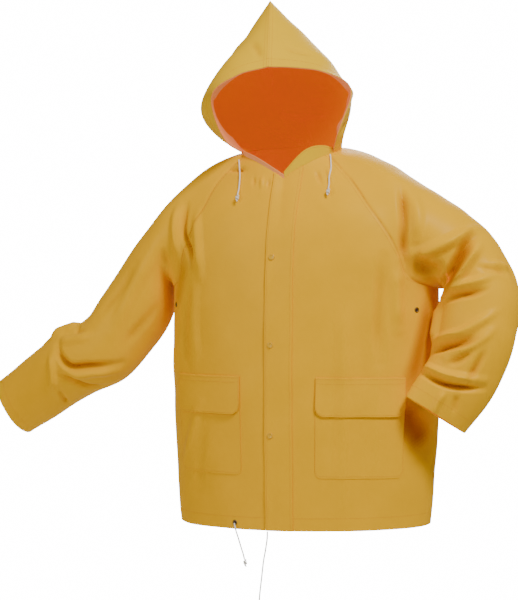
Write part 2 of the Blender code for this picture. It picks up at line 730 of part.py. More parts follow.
def free_cord(name, start, route, material):
    """A cord and its knot that hang free below the hem."""
    points = [np.array(start) + offset for offset in np.array(route)]
    knot = points.pop()
    way = unit(points[-1] - knot)
    points.append(knot + way * (0.5 * KNOT_LENGTH + SEAM_GAP))
    add_cord(name, points, material)
    add_knot(name + "_knot", knot, way, material)


# ---------------------------------------------------------------- materials
def add_material(name, colour, roughness):
    material = bpy.data.materials.new(name)
    material.use_nodes = True
    shader = material.node_tree.nodes["Principled BSDF"]
    shader.inputs["Base Color"].default_value = (*colour, 1.0)
    shader.inputs["Roughness"].default_value = roughness
    return material


MATERIALS = {
    # name: colour, roughness
    "yellow_front": ((0.97, 0.55, 0.03), 0.40),
    "yellow_back": ((0.97, 0.56, 0.03), 0.40),
    "yellow_sleeve": ((0.97, 0.57, 0.03), 0.40),
    "yellow_hood": ((0.98, 0.66, 0.06), 0.38),
    "yellow_placket": ((0.97, 0.58, 0.04), 0.38),
    "yellow_pocket": ((0.96, 0.54, 0.03), 0.40),
    "yellow_flap": ((0.98, 0.58, 0.04), 0.38),
    "yellow_neckband": ((0.99, 0.72, 0.10), 0.38),
    "peach_casing": ((0.98, 0.45, 0.16), 0.50),
    "yellow_snap": ((0.95, 0.52, 0.03), 0.30),
    "dark_eyelet": ((0.20, 0.14, 0.05), 0.35),
    "white_cord": ((0.90, 0.89, 0.86), 0.70),
}


# ---------------------------------------------------------------- the jacket
def flap_grid(front, out):
    """A flap's share of a front, with its two lower corners rounded off."""
    grid, ways = front[5:9, 2:7].copy(), out[5:9, 2:7]
    for corner, beside in ((0, 1), (-1, -2)):
        cut = 0.3
        sideways = grid[0, beside] - grid[0, corner]
        upward = grid[1, corner] - grid[0, corner]
        level = FLAP_CORNER / np.linalg.norm(upward)
        twist = grid[1, beside] - grid[1, corner] - sideways
        grid[0, corner] = grid[0, corner] + cut * sideways + cut * level * (upward + cut * twist)
    return grid, ways


def build():
    for thing in list(bpy.data.objects):
        bpy.data.objects.remove(thing, do_unlink=True)
    look = {name: add_material(name, *values) for name, values in MATERIALS.items()}
    grids = skin()
    outs = normals(grids)
    pull = SEAM_PULL

    for side in ("left", "right"):
        front, way = grids["front_" + side], outs["front_" + side]
        add_wall("front_" + side, pulled(front, False, (0, pull, pull, pull)), way, 0.0, -CLOTH, look["yellow_front"])
        pocket = pulled(front[3:8, 2:7], False, (0.0005, 0, 0.0005, 0.0005))
        lift = SEAM_GAP
        add_wall("pocket_" + side, pocket, way[3:8, 2:7], lift + POCKET_CLOTH, lift, look["yellow_pocket"])
        lift = 2 * SEAM_GAP + POCKET_CLOTH
        flap, flap_way = flap_grid(front, way)
        flap[-1] -= (lift - SEAM_GAP) * flap_way[-1]
        add_wall("flap_" + side, flap, flap_way, lift + CLOTH, lift, look["yellow_flap"])
        tube_grid = pulled(grids["sleeve_" + side], True, (2 * pull, 0, 0, 0))
        add_wall("sleeve_" + side, tube_grid, outs["sleeve_" + side], 0.0, -CLOTH, look["yellow_sleeve"], True)
        hood_grid, hood_way = grids["hood_" + side], outs["hood_" + side]
        half = pulled(hood_grid, False, (1.5 * pull, 1.5 * pull, 0, 3 * pull))
        add_wall("hood_" + side, half, hood_way, 0.0, -CLOTH, look["yellow_hood"])
        channel = pulled(hood_grid[:, :2], False, (0.0020, 0.0010, 0.0005, 0))
        top = -CLOTH - 1.5 * SEAM_GAP
        add_wall("casing_" + side, channel, hood_way[:, :2], top, top - CLOTH, look["peach_casing"])
        band, band_way = grids["neckband_" + side], outs["neckband_" + side]
        band = pulled(band, False, (2 * pull, 0, 3 * pull, 40 * pull))
        add_wall("neckband_" + side, band, band_way, 0.0, -CLOTH, look["yellow_neckband"])

    back = pulled(grids["back"], False, (0, pull, pull, pull))
    add_wall("back", back, outs["back"], 0.0, -CLOTH, look["yellow_back"])

    left, right = grids["front_left"], grids["front_right"]
    strip = np.stack([right[:, 1], left[:, 0], left[:, 1]], 1)
    strip_way = np.stack([outs["front_right"][:, 1], outs["front_left"][:, 0], outs["front_left"][:, 1]], 1)
    strip = pulled(strip, False, (0, 0.003, 0, 0))
    add_wall("placket", strip, strip_way, SEAM_GAP + CLOTH, SEAM_GAP, look["yellow_placket"], mirrored=1)

    covered = tree_of("placket")
    for number, height in enumerate(SNAP_HEIGHTS, 1):
        add_snap(f"snap_{number}", covered, SNAP_FROM_EDGE - PLACKET_FREE, height, look["yellow_snap"])
    body = tree_of("front_left", "front_right")
    for side, (sideways, height) in zip(("left", "right"), VENT_AT):
        add_eyelet("vent_" + side, body, sideways, height, look["dark_eyelet"])
    place, normal = add_eyelet("hem_eyelet", body, *HEM_EYELET_AT, look["dark_eyelet"])

    chest = tree_of("front_left", "front_right", "sleeve_left", "sleeve_right", "neckband_left", "neckband_right")
    hung_cord("hood_cord_right", chest, HOOD_CORD_RIGHT, look["white_cord"])
    hung_cord("hood_cord_left", chest, HOOD_CORD_LEFT, look["white_cord"])
    free_cord("hem_cord_right", place, HEM_CORD_RIGHT, look["white_cord"])
    free_cord("hem_cord_left", HEM_CORD_AT, HEM_CORD_LEFT, look["white_cord"])


build()
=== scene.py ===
# %% [markdown]
# # A hooded rain jacket, worn shape with nobody in it
#
# The jacket is cut from coated cloth: two fronts, a back, two raglan sleeves and a hood of two
# halves. Each piece here is a thin wall on one shared skin, so the seams meet by themselves.
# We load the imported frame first. It tells us where every piece belongs.

# %% Load the frame and keep its box
import math

import bmesh
import bpy
import numpy as np
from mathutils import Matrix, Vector
from mathutils.bvhtree import BVHTree


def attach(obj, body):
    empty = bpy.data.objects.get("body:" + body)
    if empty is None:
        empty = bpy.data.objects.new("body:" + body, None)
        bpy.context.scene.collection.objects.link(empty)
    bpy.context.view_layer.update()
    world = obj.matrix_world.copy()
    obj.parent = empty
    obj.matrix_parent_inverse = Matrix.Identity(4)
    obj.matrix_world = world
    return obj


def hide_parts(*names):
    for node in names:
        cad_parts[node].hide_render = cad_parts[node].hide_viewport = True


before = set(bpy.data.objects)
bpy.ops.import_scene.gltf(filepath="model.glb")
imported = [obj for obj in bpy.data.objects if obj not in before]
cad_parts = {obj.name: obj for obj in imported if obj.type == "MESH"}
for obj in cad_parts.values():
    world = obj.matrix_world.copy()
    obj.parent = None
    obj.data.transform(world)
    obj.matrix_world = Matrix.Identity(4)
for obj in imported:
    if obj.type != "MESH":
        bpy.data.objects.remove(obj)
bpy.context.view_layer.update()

CLOTH = 0.0012  # one layer of coated cloth
GAP = 0.0003  # between a panel and what lies on it
print("nodes in the frame:", len(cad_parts))

# %% [markdown]
# ## Camera
#
# The jacket is seen from a little to its left, level with its chest, through a long lens that
# keeps it nearly free of perspective. An aim point, a turn and a distance say all of that.

# %% Camera
VIEW_TURN = math.radians(21.0)
VIEW_DISTANCE = 3.1
LENS = 89.3
VIEW_AIM = Vector((-0.0865, -0.0332, -0.3083))
camera_data = bpy.data.cameras.new("camera")
camera_data.lens = LENS
camera = bpy.data.objects.new("camera", camera_data)
bpy.context.scene.collection.objects.link(camera)
towards_camera = Vector((math.sin(VIEW_TURN), -math.cos(VIEW_TURN), 0.0))
camera.location = VIEW_AIM + VIEW_DISTANCE * towards_camera
camera.rotation_euler = towards_camera.to_track_quat("Z", "Y").to_euler()
bpy.context.scene.camera = camera
print("camera stands at", [round(value, 3) for value in camera.location])

# %% [markdown]
# ## Reading between the rows of a pattern
#
# Each part of the jacket is kept as a small table: a few heights or rings with their sizes. One
# curve through the rows gives every size between them, so a change of one row changes the whole
# shape smoothly. A cubic is used because straight steps would show as flats in shiny cloth.

# %% Curves through tables
def smooth(stations, values, at):
    """Values at each place in `at`, on a cubic that passes through every station."""
    stations = np.asarray(stations, float)
    values = np.asarray(values, float)
    at = np.clip(np.asarray(at, float), stations[0], stations[-1])
    gaps = np.diff(stations).reshape((-1,) + (1,) * (values.ndim - 1))
    slopes = np.diff(values, axis=0) / gaps
    tangents = np.empty_like(values)
    tangents[0], tangents[-1] = slopes[0], slopes[-1]
    share = gaps[:-1] / (gaps[:-1] + gaps[1:])
    tangents[1:-1] = slopes[:-1] * (1 - share) + slopes[1:] * share
    cell = np.clip(np.searchsorted(stations, at, side="right") - 1, 0, len(gaps) - 1)
    shape = at.shape + (1,) * (values.ndim - 1)
    gap = gaps[cell].reshape(shape)
    t = ((at - stations[cell]) / np.diff(stations)[cell]).reshape(shape)
    start, end = values[cell], values[cell + 1]
    rise, fall = tangents[cell] * gap, tangents[cell + 1] * gap
    return (
        start * (2 * t**3 - 3 * t**2 + 1)
        + rise * (t**3 - 2 * t**2 + t)
        + end * (3 * t**2 - 2 * t**3)
        + fall * (t**3 - t**2)
    )


def ease(t):
    """0 before 0, 1 after 1, with soft ends."""
    t = np.clip(t, 0.0, 1.0)
    return t * t * (3 - 2 * t)


def unit(vectors):
    vectors = np.asarray(vectors, float)
    return vectors / np.maximum(np.linalg.norm(vectors, axis=-1, keepdims=True), 1e-12)


print("half way along an eased step:", ease(0.5))

# %% [markdown]
# ## Torso
#
# The body of the jacket is a tube whose section changes from the hem to the neck. A real jacket
# gets that shape from its wearer. Here each section is four quarters of a superellipse: an oval
# that a single number makes rounder or squarer, which suits a stiff cloth that bridges hollows.

# %% The torso
FLAP_TOP_Z = -0.462  # the flaps lie on the widest part, so other pieces are measured from them
FLAP_LOW_Z = -0.538
TORSO = [
    # height, half width, front, back, front squareness, back squareness
    (-0.767, 0.270, 0.152, 0.140, 1.95, 2.0),
    (-0.650, 0.280, 0.156, 0.140, 1.90, 2.0),
    (-0.500, 0.288, 0.159, 0.140, 1.90, 2.0),
    (-0.380, 0.288, 0.158, 0.140, 1.95, 2.0),
    (-0.285, 0.285, 0.155, 0.140, 2.10, 2.2),
    (-0.200, 0.285, 0.148, 0.143, 2.30, 2.4),
    (-0.120, 0.275, 0.132, 0.138, 2.40, 2.4),
    (-0.060, 0.250, 0.112, 0.122, 2.40, 2.4),
    (-0.010, 0.200, 0.095, 0.100, 2.20, 2.2),
    (0.030, 0.150, 0.075, 0.082, 2.00, 2.0),
]


def torso(angle, height):
    """Points on the torso, at angles in degrees from the centre front, + to the wearer's left."""
    angle, height = np.broadcast_arrays(np.asarray(angle, float), np.asarray(height, float))
    table = np.array(TORSO)
    half, front, back, front_square, back_square = np.moveaxis(
        smooth(table[:, 0], table[:, 1:], height), -1, 0
    )
    side, ahead = np.sin(np.radians(angle)), np.cos(np.radians(angle))
    square = np.where(ahead >= 0, front_square, back_square)
    reach = np.where(ahead >= 0, front, back)
    x = half * np.sign(side) * np.abs(side) ** (2 / square)
    y = -reach * np.sign(ahead) * np.abs(ahead) ** (2 / square)
    return np.stack([x, y, height], -1)


def angle_along(distance):
    """The angle that lies a distance along the cloth from the centre front, at the flaps."""
    angles = np.linspace(0, 90, 721)
    steps = np.linalg.norm(np.diff(torso(angles, FLAP_LOW_Z), axis=0), axis=1)
    return np.interp(distance, np.concatenate([[0], np.cumsum(steps)]), angles)


girth = np.linalg.norm(np.diff(torso(np.arange(0, 361, 2), FLAP_LOW_Z), axis=0), axis=1).sum()
print("round the torso at the flaps in m:", round(float(girth), 3))

# %% [markdown]
# ## Raglan and neck seams
#
# A raglan sleeve has no shoulder seam: it runs up to the neck, so its two seams cross the torso
# from the armpit to the neckline. The neckline itself is a loop that dips at the front. Both are
# curves that several panels share, so they are worked out once.

# %% Seams on the torso
ARMPIT_Z = -0.285
RAGLAN = [
    # height, front angle, back angle, in degrees from the centre front and the centre back
    (-0.285, 90.0, 90.0),
    (-0.278, 74.0, 78.0),
    (-0.262, 59.0, 66.0),
    (-0.225, 54.0, 60.0),
    (-0.180, 47.0, 54.0),
    (-0.125, 37.0, 46.0),
    (-0.070, 29.0, 38.0),
    (-0.004, 21.0, 30.0),
]
NECK_CENTRE = (-0.020, -0.012)
NECK_HALF_WIDTH = 0.104
NECK_HALF_DEPTH = 0.090
NECK_FRONT_TURN = 8.0  # degrees that the centre front sits off the loop's own middle
NECK_RAGLAN_FRONT = 62.0
NECK_RAGLAN_BACK = 118.0
NECK_HEIGHTS = [
    # angle from the centre front, height
    (0.0, -0.064),
    (14.0, -0.047),
    (34.0, -0.027),
    (62.0, -0.010),
    (90.0, 0.002),
    (135.0, 0.014),
    (180.0, 0.020),
]


def neck(angle):
    """Points on the neck seam, at angles in degrees from the loop's own front."""
    angle = np.asarray(angle, float)
    table = np.array(NECK_HEIGHTS)
    turned = angle - NECK_FRONT_TURN * (1 - np.abs(angle) / 180)
    height = smooth(table[:, 0], table[:, 1:], np.abs(turned))[..., 0]
    x = NECK_CENTRE[0] + NECK_HALF_WIDTH * np.sin(np.radians(angle))
    y = NECK_CENTRE[1] - NECK_HALF_DEPTH * np.cos(np.radians(angle))
    return np.stack([x, y, height], -1)


def seam_rows(count):
    """The raglan seam's height and angles, at even steps from the armpit to the neck."""
    table = np.array(RAGLAN)
    points = torso(table[:, 1], table[:, 0])
    along = np.concatenate([[0], np.cumsum(np.linalg.norm(np.diff(points, axis=0), axis=1))])
    return smooth(along, table, np.linspace(0, along[-1], count + 1))


loop = neck(np.arange(-180, 181, 2.0))
print("neck seam in m:", round(float(np.linalg.norm(np.diff(loop, axis=0), axis=1).sum()), 3))

# %% [markdown]
# ## Fronts and back
#
# A front is a grid: its rows lie level from the hem to the armpit, then climb along the raglan
# seam to the neck. Columns crowd towards the armpit, where the cloth bends most. The back is made
# the same way from its own centre.

# %% A body panel
HEM_TILT = 0.026  # the hem hangs this much lower per metre towards the wearer's right
PLACKET_FREE = 0.026
PLACKET_SEWN = 0.030
CROWDING = 6.0
EVEN_ANGLE = 60.0  # up to here the columns stand evenly
TILT_RISE = 0.2  # height below the flaps over which the hem's tilt sets in
NECK_PULL = 0.45  # share of the raglan seam above which the rows turn into the neckline


def crowded(share, widest, crowding):
    """Angles at shares 0 to 1 of a row that ends at `widest` degrees, gathered under the arm."""
    even = np.minimum(widest, EVEN_ANGLE)
    return share * even + (widest - even) * share**crowding


def body_panel(shares, fixed, neck_angles, side, at_back, heights, seam_steps):
    """The grid of a front or of half of the back: rows from the hem to the neck.

    A share runs from 0 to 1 between the placket's edge and the side; -1 is the centre front.
    """
    shares = np.asarray(shares, float)
    neck_points = neck(neck_angles)
    rows = []
    for height in heights:
        crowding = 1 + (CROWDING - 1) * ease((height - FLAP_TOP_Z) / (ARMPIT_Z - FLAP_TOP_Z))
        rows.append((np.full(shares.shape, height), 90.0, crowding, 0.0))
    seam = seam_rows(seam_steps)[1:]
    for step, (height, front_angle, back_angle) in enumerate(seam, 1):
        risen = (height - ARMPIT_Z) / (RAGLAN[-1][0] - ARMPIT_Z)
        level = ARMPIT_Z + risen * (neck_points[:, 2] - ARMPIT_Z)
        widest = back_angle if at_back else front_angle
        rows.append((level, widest, CROWDING, ease((step / seam_steps - NECK_PULL) / (1 - NECK_PULL))))
    grid = []
    for level, widest, crowding, _ in rows:
        held = np.zeros(shares.shape)
        if fixed > 0:
            table = np.array(TORSO)
            half, square = smooth(table[:, 0], table[:, [1, 4]], level).T
            held = np.degrees(np.arcsin((fixed / half) ** (square / 2)))
        past = held + crowded(np.maximum(shares, 0), widest - held, crowding)
        angles = np.where(shares <= 0, held * (1 + shares), past) if fixed > 0 else past
        grid.append(torso(side * (180 - angles if at_back else angles), level))
    blends = np.array([row[3] for row in rows]).reshape(-1, 1, 1)
    grid = np.array(grid) + blends * (neck_points - grid[-1])
    grid[..., 2] += HEM_TILT * grid[..., 0] * ease((FLAP_LOW_Z - grid[..., 2]) / TILT_RISE)
    return grid


print("placket in mm:", round(1000 * (PLACKET_FREE + PLACKET_SEWN)))

# %% [markdown]
# ## Sleeves
#
# A sleeve begins at the armhole, whose outline the panels give, and ends in an oval cuff. Between
# them a table of rings follows the bent arm. The first rings blend from the armhole into the free
# tube, and leave each seam in the direction of the torso there, so the seam stays flat.

# %% The sleeves
SLEEVE_RIGHT = [
    # ring, centre x, y, z, outward x, y, z, half width, half depth
    ("deltoid", -0.316, 0.000, -0.208, -0.30, 0.0, 0.95, 0.070, 0.090),
    ("upper", -0.353, -0.006, -0.285, -0.64, 0.0, 0.77, 0.078, 0.080),
    ("mid", -0.398, -0.012, -0.355, -0.75, 0.0, 0.66, 0.079, 0.074),
    ("elbow", -0.458, -0.018, -0.422, -0.62, 0.0, 0.78, 0.077, 0.069),
    ("below", -0.532, -0.010, -0.451, -0.57, 0.0, 0.82, 0.077, 0.062),
    ("forearm", -0.616, 0.008, -0.499, -0.52, 0.0, 0.85, 0.073, 0.050),
    ("cuff", -0.702, 0.028, -0.549, -0.54, 0.0, 0.84, 0.069, 0.040),
]
SLEEVE_LEFT = [
    # ring, centre x, y, z, outward x, y, z, half width, half depth
    ("deltoid", 0.306, 0.002, -0.199, 0.03, 0.0, 1.00, 0.090, 0.092),
    ("upper", 0.333, 0.002, -0.226, 0.30, 0.0, 0.95, 0.085, 0.086),
    ("mid", 0.357, -0.002, -0.259, 0.72, 0.0, 0.69, 0.078, 0.080),
    ("elbow", 0.375, -0.010, -0.309, 0.97, 0.0, 0.23, 0.080, 0.077),
    ("below", 0.372, -0.038, -0.383, 1.00, 0.0, 0.08, 0.079, 0.064),
    ("forearm", 0.352, -0.058, -0.452, 0.95, 0.20, -0.23, 0.075, 0.050),
    ("cuff", 0.303, -0.082, -0.533, 0.72, 0.45, -0.53, 0.070, 0.032),
]
SLEEVE_NECK_ANGLE = 38.0  # half of the ring that the neck end of the sleeve takes up
FRONT_DIRECTION = (0.0, -1.0, 0.0)


def tube(table, around, at):
    """Points of a sleeve's free part, at shares 0 to 1 of its length and angles from its top."""
    rows = np.array([row[1:] for row in table])
    steps = np.linalg.norm(np.diff(rows[:, :3], axis=0), axis=1)
    along = np.concatenate([[0], np.cumsum(steps)])
    at = np.asarray(at, float) * along[-1]
    values = smooth(along, rows, at)
    centre, outward = values[:, :3], unit(values[:, 3:6])
    axis = smooth(along, rows[:, :3], at + 1e-3) - smooth(along, rows[:, :3], at - 1e-3)
    ahead = unit(np.cross(outward, axis))
    ahead *= np.sign(ahead @ np.array(FRONT_DIRECTION))[:, None]
    turn = np.radians(around)
    out = (values[:, 6:7] * np.cos(turn))[..., None] * outward[:, None]
    return centre[:, None] + out + (values[:, 7:8] * np.sin(turn))[..., None] * ahead[:, None]


for table in (SLEEVE_RIGHT, SLEEVE_LEFT):
    centres = np.array([ring[1:4] for ring in table])
    print("free sleeve in m:", round(float(np.linalg.norm(np.diff(centres, axis=0), axis=1).sum()), 3))

# %% [markdown]
# ## From the armhole into the sleeve
#
# A set of rings could simply start at the armhole, but then the sleeve would leave the body with a
# kink. Each line of the sleeve is one smooth curve instead: it starts along the body's own cloth
# and arrives along the tube's.

# %% The armhole's rings
SETTLING_ROUNDS = 60
BODY_SHARE = 0.35  # up to this share of the seam the sleeve leaves along the body


def sleeve(table, side, front_seam, back_seam, neck_arc, armhole_rings, free_rings):
    """Rings from the armhole to the cuff. A ring starts under the arm and comes round the front."""
    armhole = np.concatenate([front_seam, neck_arc[1:-1], back_seam[:0:-1]])
    steps = len(front_seam) - 1

    def seam_share(seam):
        lengths = np.linalg.norm(np.diff(seam, axis=0), axis=1)
        return 1 - np.concatenate([[0], np.cumsum(lengths)]) / lengths.sum()

    front_share, back_share = seam_share(front_seam), seam_share(back_seam)
    span = 180 - SLEEVE_NECK_ANGLE
    arc = np.linspace(SLEEVE_NECK_ANGLE, -SLEEVE_NECK_ANGLE, len(neck_arc))[1:-1]
    around = np.concatenate([
        SLEEVE_NECK_ANGLE + span * front_share,
        arc,
        -SLEEVE_NECK_ANGLE - span * back_share[:0:-1],
    ])
    share = np.concatenate([front_share, np.zeros(len(arc)), back_share[:0:-1]])
    rows = seam_rows(steps)
    bodily = []
    for angles, turned in ((rows[:, 1], False), (rows[:, 2], True)):
        here = side * (180 - angles if turned else angles)
        there = side * (180 - angles - 1 if turned else angles + 1)
        bodily.append(unit(torso(there, rows[:, 0]) - torso(here, rows[:, 0])))
    flat = np.tile((side, 0.0, -0.15), (len(arc), 1))
    body_way = unit(np.concatenate([bodily[0], flat, bodily[1][:0:-1]]))
    for _ in range(SETTLING_ROUNDS):  # the ways on the seams turn slowly into the way at the neck
        body_way = unit(np.roll(body_way, 1, 0) + 2 * body_way + np.roll(body_way, -1, 0))
    free = tube(table, around, np.linspace(0, 1, free_rings + 1))
    leaving = unit(tube(table, around, [0.01])[0] - free[0])
    chord = free[0] - armhole
    reach = np.linalg.norm(chord, axis=1, keepdims=True)
    straight = ease((share - BODY_SHARE) / (1 - BODY_SHARE))[:, None]
    starting = unit((1 - straight) * body_way + straight * unit(chord))
    blend = []
    for t in np.linspace(0, 1, armhole_rings + 1)[:-1]:
        blend.append(
            armhole * (2 * t**3 - 3 * t**2 + 1)
            + starting * reach * (t**3 - 2 * t**2 + t)
            + free[0] * (3 * t**2 - 2 * t**3)
            + leaving * reach * (t**3 - t**2)
        )
    return np.concatenate([np.array(blend), free])


print("the neck takes up this share of a ring:", round(SLEEVE_NECK_ANGLE / 180, 2))

# %% [markdown]
# ## Hood
#
# The hood is two flat halves sewn along a ridge, from the brow over the peak to the nape. Each
# arch in its table climbs from the neck over cheek, corner and brow to the ridge. The finished
# hood is turned to one side, as an empty hood falls.

# %% The hood
HEM_TURN = 0.025  # hem fold, and the fold at the hood's edge
BAND_COLUMNS = 6
HOOD = [
    # arch, foot angle on the neck, then (half width, back, height) of the cheek, the corner and
    # the brow, (back, height) of the ridge, and how far all four lean to the right
    ("edge", 72.0, (0.118, -0.075, 0.020), (0.143, -0.110, 0.108), (0.084, -0.128, 0.148), (-0.135, 0.160),
     (0.010, 0.043, 0.050, 0.075)),
    ("side", 88.0, (0.130, -0.035, 0.028), (0.154, -0.050, 0.100), (0.104, -0.066, 0.180), (-0.070, 0.235),
     (0.016, 0.043, 0.045, 0.062)),
    ("peak", 106.0, (0.126, 0.010, 0.035), (0.146, 0.012, 0.100), (0.092, 0.012, 0.204), (0.008, 0.318),
     (0.022, 0.042, 0.031, 0.046)),
    ("crown", 132.0, (0.098, 0.055, 0.045), (0.112, 0.070, 0.105), (0.066, 0.080, 0.190), (0.090, 0.262),
     (0.014, 0.030, 0.030, 0.036)),
    ("back", 158.0, (0.056, 0.086, 0.045), (0.060, 0.104, 0.085), (0.034, 0.116, 0.125), (0.124, 0.160),
     (0.006, 0.015, 0.018, 0.022)),
    ("nape", 180.0, (0.0, 0.090, 0.020), (0.0, 0.090, 0.020), (0.0, 0.090, 0.020), (0.090, 0.020),
     (0.0, 0.0, 0.0, 0.0)),
]
HOOD_ROLL = 0.07  # rise per metre towards the wearer's left
HOOD_TURN = 30.0  # degrees that the hood is turned to the wearer's left
HOOD_TURN_RISE = 0.070  # height over which it turns
print("arches in half of the hood:", len(HOOD))

# %% [markdown]
# ## From arches to a grid
#
# The arches are read at many places between the edge and the nape, then turned and rolled, and
# the lines along them are cut evenly. The first columns are exactly as wide as the hem fold, so
# that the casing and its stitches can use them.

# %% Half of the hood
FINE_ARCHES = 121


def hood(feet, steps, side):
    """Half of the hood: column by column from its open edge to the nape, each up to the ridge."""
    table = []
    for _, _, cheek, corner, brow, ridge, leans in HOOD:
        table.append([*cheek, *corner, *brow, 0.0, *ridge, *leans])
    fine = np.linspace(feet[0], 180.0, FINE_ARCHES)
    read = smooth([row[1] for row in HOOD], table, fine)
    knots = read[:, :12].reshape(-1, 4, 3) * (side, 1.0, 1.0)
    foot = neck(side * fine)
    level = (foot[:, 2] + neck(-side * fine)[:, 2]) / 2
    rise = knots[..., 2] - level[:, None]
    x = knots[..., 0] - read[:, 12:]
    y = knots[..., 1]
    above = ease(rise / HOOD_TURN_RISE)
    knots[..., 2] += HOOD_ROLL * x * above
    turn = np.radians(HOOD_TURN) * above
    knots = np.stack([
        NECK_CENTRE[0] + x * np.cos(turn) - y * np.sin(turn),
        NECK_CENTRE[1] + x * np.sin(turn) + y * np.cos(turn),
        knots[..., 2],
    ], -1)
    knots[-1] = foot[-1]
    arches = np.concatenate([foot[:, None], knots], 1)
    chords = np.linalg.norm(np.diff(arches, axis=1), axis=2).mean(axis=0)
    along = np.concatenate([[0], np.cumsum(chords)])
    surface = smooth(along, arches.transpose(1, 0, 2), np.linspace(0, along[-1], steps + 1))
    rows = [neck(side * np.asarray(feet, float))]
    for line in surface[1:]:
        far = np.concatenate([[0], np.cumsum(np.linalg.norm(np.diff(line, axis=0), axis=1))])
        band = np.linspace(0, HEM_TURN, BAND_COLUMNS + 1)
        places = np.concatenate([band[:-1], np.linspace(HEM_TURN, far[-1], len(feet) - BAND_COLUMNS)])
        rows.append(np.stack([np.interp(places, far, line[:, k]) for k in range(3)], -1))
    return np.array(rows)


print("the hood's fold in mm:", round(1000 * HEM_TURN), "in", BAND_COLUMNS, "columns")

# %% [markdown]
# ## One fine skin for all the panels
#
# A sewn jacket is continuous: a crease runs over a seam without noticing it. So all panels are
# sampled from the same curves, and points that two panels share get one common direction.
# Whatever we push in or pull out later keeps the seams closed.

# %% Bands on the neckline
NECKBAND_LEFT = [
    # angle on the neck, rise, how far the top stands out
    (8.0, 0.014, 0.004),
    (30.0, 0.030, 0.004),
    (50.0, 0.024, 0.003),
    (72.0, 0.008, 0.002),
]
NECKBAND_RIGHT = [  # folded over, so it stands lower
    (3.0, 0.008, 0.002),
    (30.0, 0.010, 0.002),
    (50.0, 0.010, 0.002),
    (72.0, 0.008, 0.002),
]
NECKBAND_STEPS = 10


def neck_angles(shares, fixed, side):
    """Where a front's columns meet the neck seam: the centre, the placket's edge, then evenly."""
    edge = math.degrees(math.asin((side * fixed - NECK_CENTRE[0]) / NECK_HALF_WIDTH))
    past = edge + (side * NECK_RAGLAN_FRONT - edge) * np.maximum(shares, 0)
    return np.where(shares <= 0, NECK_FRONT_TURN + (edge - NECK_FRONT_TURN) * (1 + shares), past)


def neckband(angles, table):
    """A band standing on the front neckline."""
    foot = neck(angles)
    table = np.array(table)
    rise, out = smooth(table[:, 0], table[:, 1:], np.abs(angles)).T
    inward = foot - np.array([*NECK_CENTRE, 0.0])
    inward[:, 2] = 0.0
    top = foot + unit(inward) * out[:, None] + np.array((0, 0, 1)) * rise[:, None]
    steps = range(NECKBAND_STEPS + 1)
    return np.array([foot + (top - foot) * step / NECKBAND_STEPS for step in steps])


print("neckband's height at the left in mm:", round(1000 * max(row[1] for row in NECKBAND_LEFT)))

# %% [markdown]
# ## How fine
#
# A fold needs several cells across its crest or it looks faceted. These counts give cells of
# three or four millimetres, and neighbours use the same count along a seam so that it closes.

# %% Sample the panels finely
LEVEL_ROWS = 132
HEIGHTS = np.linspace(TORSO[0][0], ARMPIT_Z, LEVEL_ROWS)
SEAM_STEPS = 66
PLACKET_COLUMNS = 8
FRONT_COLUMNS = 92
BACK_COLUMNS = 84
NECK_COLUMNS = 28
ARMHOLE_RINGS = 40
FREE_RINGS = 200
HOOD_ARCS = 84
HOOD_FOOT = (71.33, 80.67)  # degrees on the neck where the hood's edge and its casing begin
HOOD_COLUMNS = 76


def fine_skin():
    arc = np.linspace(NECK_RAGLAN_FRONT, NECK_RAGLAN_BACK, NECK_COLUMNS + 1)
    skin, half_backs = {}, []
    for name, side, fixed in (("left", 1, PLACKET_SEWN), ("right", -1, PLACKET_FREE)):
        across = np.linspace(0, 1, FRONT_COLUMNS + 1)[1:]
        shares = np.concatenate([np.linspace(-1, 0, PLACKET_COLUMNS + 1), across])
        angles = neck_angles(shares, fixed, side)
        front = body_panel(shares, fixed, angles, side, False, HEIGHTS, SEAM_STEPS)
        shares = np.linspace(0, 1, BACK_COLUMNS + 1)
        angles_back = side * (180 + (NECK_RAGLAN_BACK - 180) * shares)
        back = body_panel(shares, 0.0, angles_back, side, True, HEIGHTS, SEAM_STEPS)
        seams = front[len(HEIGHTS) - 1 :, -1], back[len(HEIGHTS) - 1 :, -1]
        table = SLEEVE_LEFT if side > 0 else SLEEVE_RIGHT
        skin["front_" + name] = front
        skin["sleeve_" + name] = sleeve(table, side, *seams, neck(side * arc), ARMHOLE_RINGS, FREE_RINGS)
        band = np.linspace(*HOOD_FOOT, BAND_COLUMNS + 1)[:-1]
        feet = np.concatenate([band, np.linspace(HOOD_FOOT[1], 180.0, HOOD_COLUMNS)])
        skin["hood_" + name] = hood(feet, HOOD_ARCS, side)
        band = np.concatenate([angles[::2], np.linspace(angles[-1], side * HOOD_FOOT[0], 6)[1:]])
        skin["neckband_" + name] = neckband(band, NECKBAND_LEFT if side > 0 else NECKBAND_RIGHT)
        half_backs.append(back)
    skin["back"] = np.concatenate([half_backs[1][:, :0:-1], half_backs[0]], 1)
    return skin


plain = fine_skin()
print("points on the skin:", sum(grid.shape[0] * grid.shape[1] for grid in plain.values()))

# %% [markdown]
# ## Outward directions
#
# To press a fold into cloth we need to know which way is out. Each grid gives a direction at each
# of its points, and where panels meet their directions are added up, so both sides move together.

# %% Directions shared at the seams
TURN = {
    # which way round each grid's cells run, seen from outside
    "front_left": 1,
    "front_right": -1,
    "back": -1,
    "sleeve_left": -1,
    "sleeve_right": 1,
    "hood_left": 1,
    "hood_right": -1,
    "neckband_left": 1,
    "neckband_right": -1,
}
SAME_PLACE = 2e-5  # points nearer than this are one point of the seam


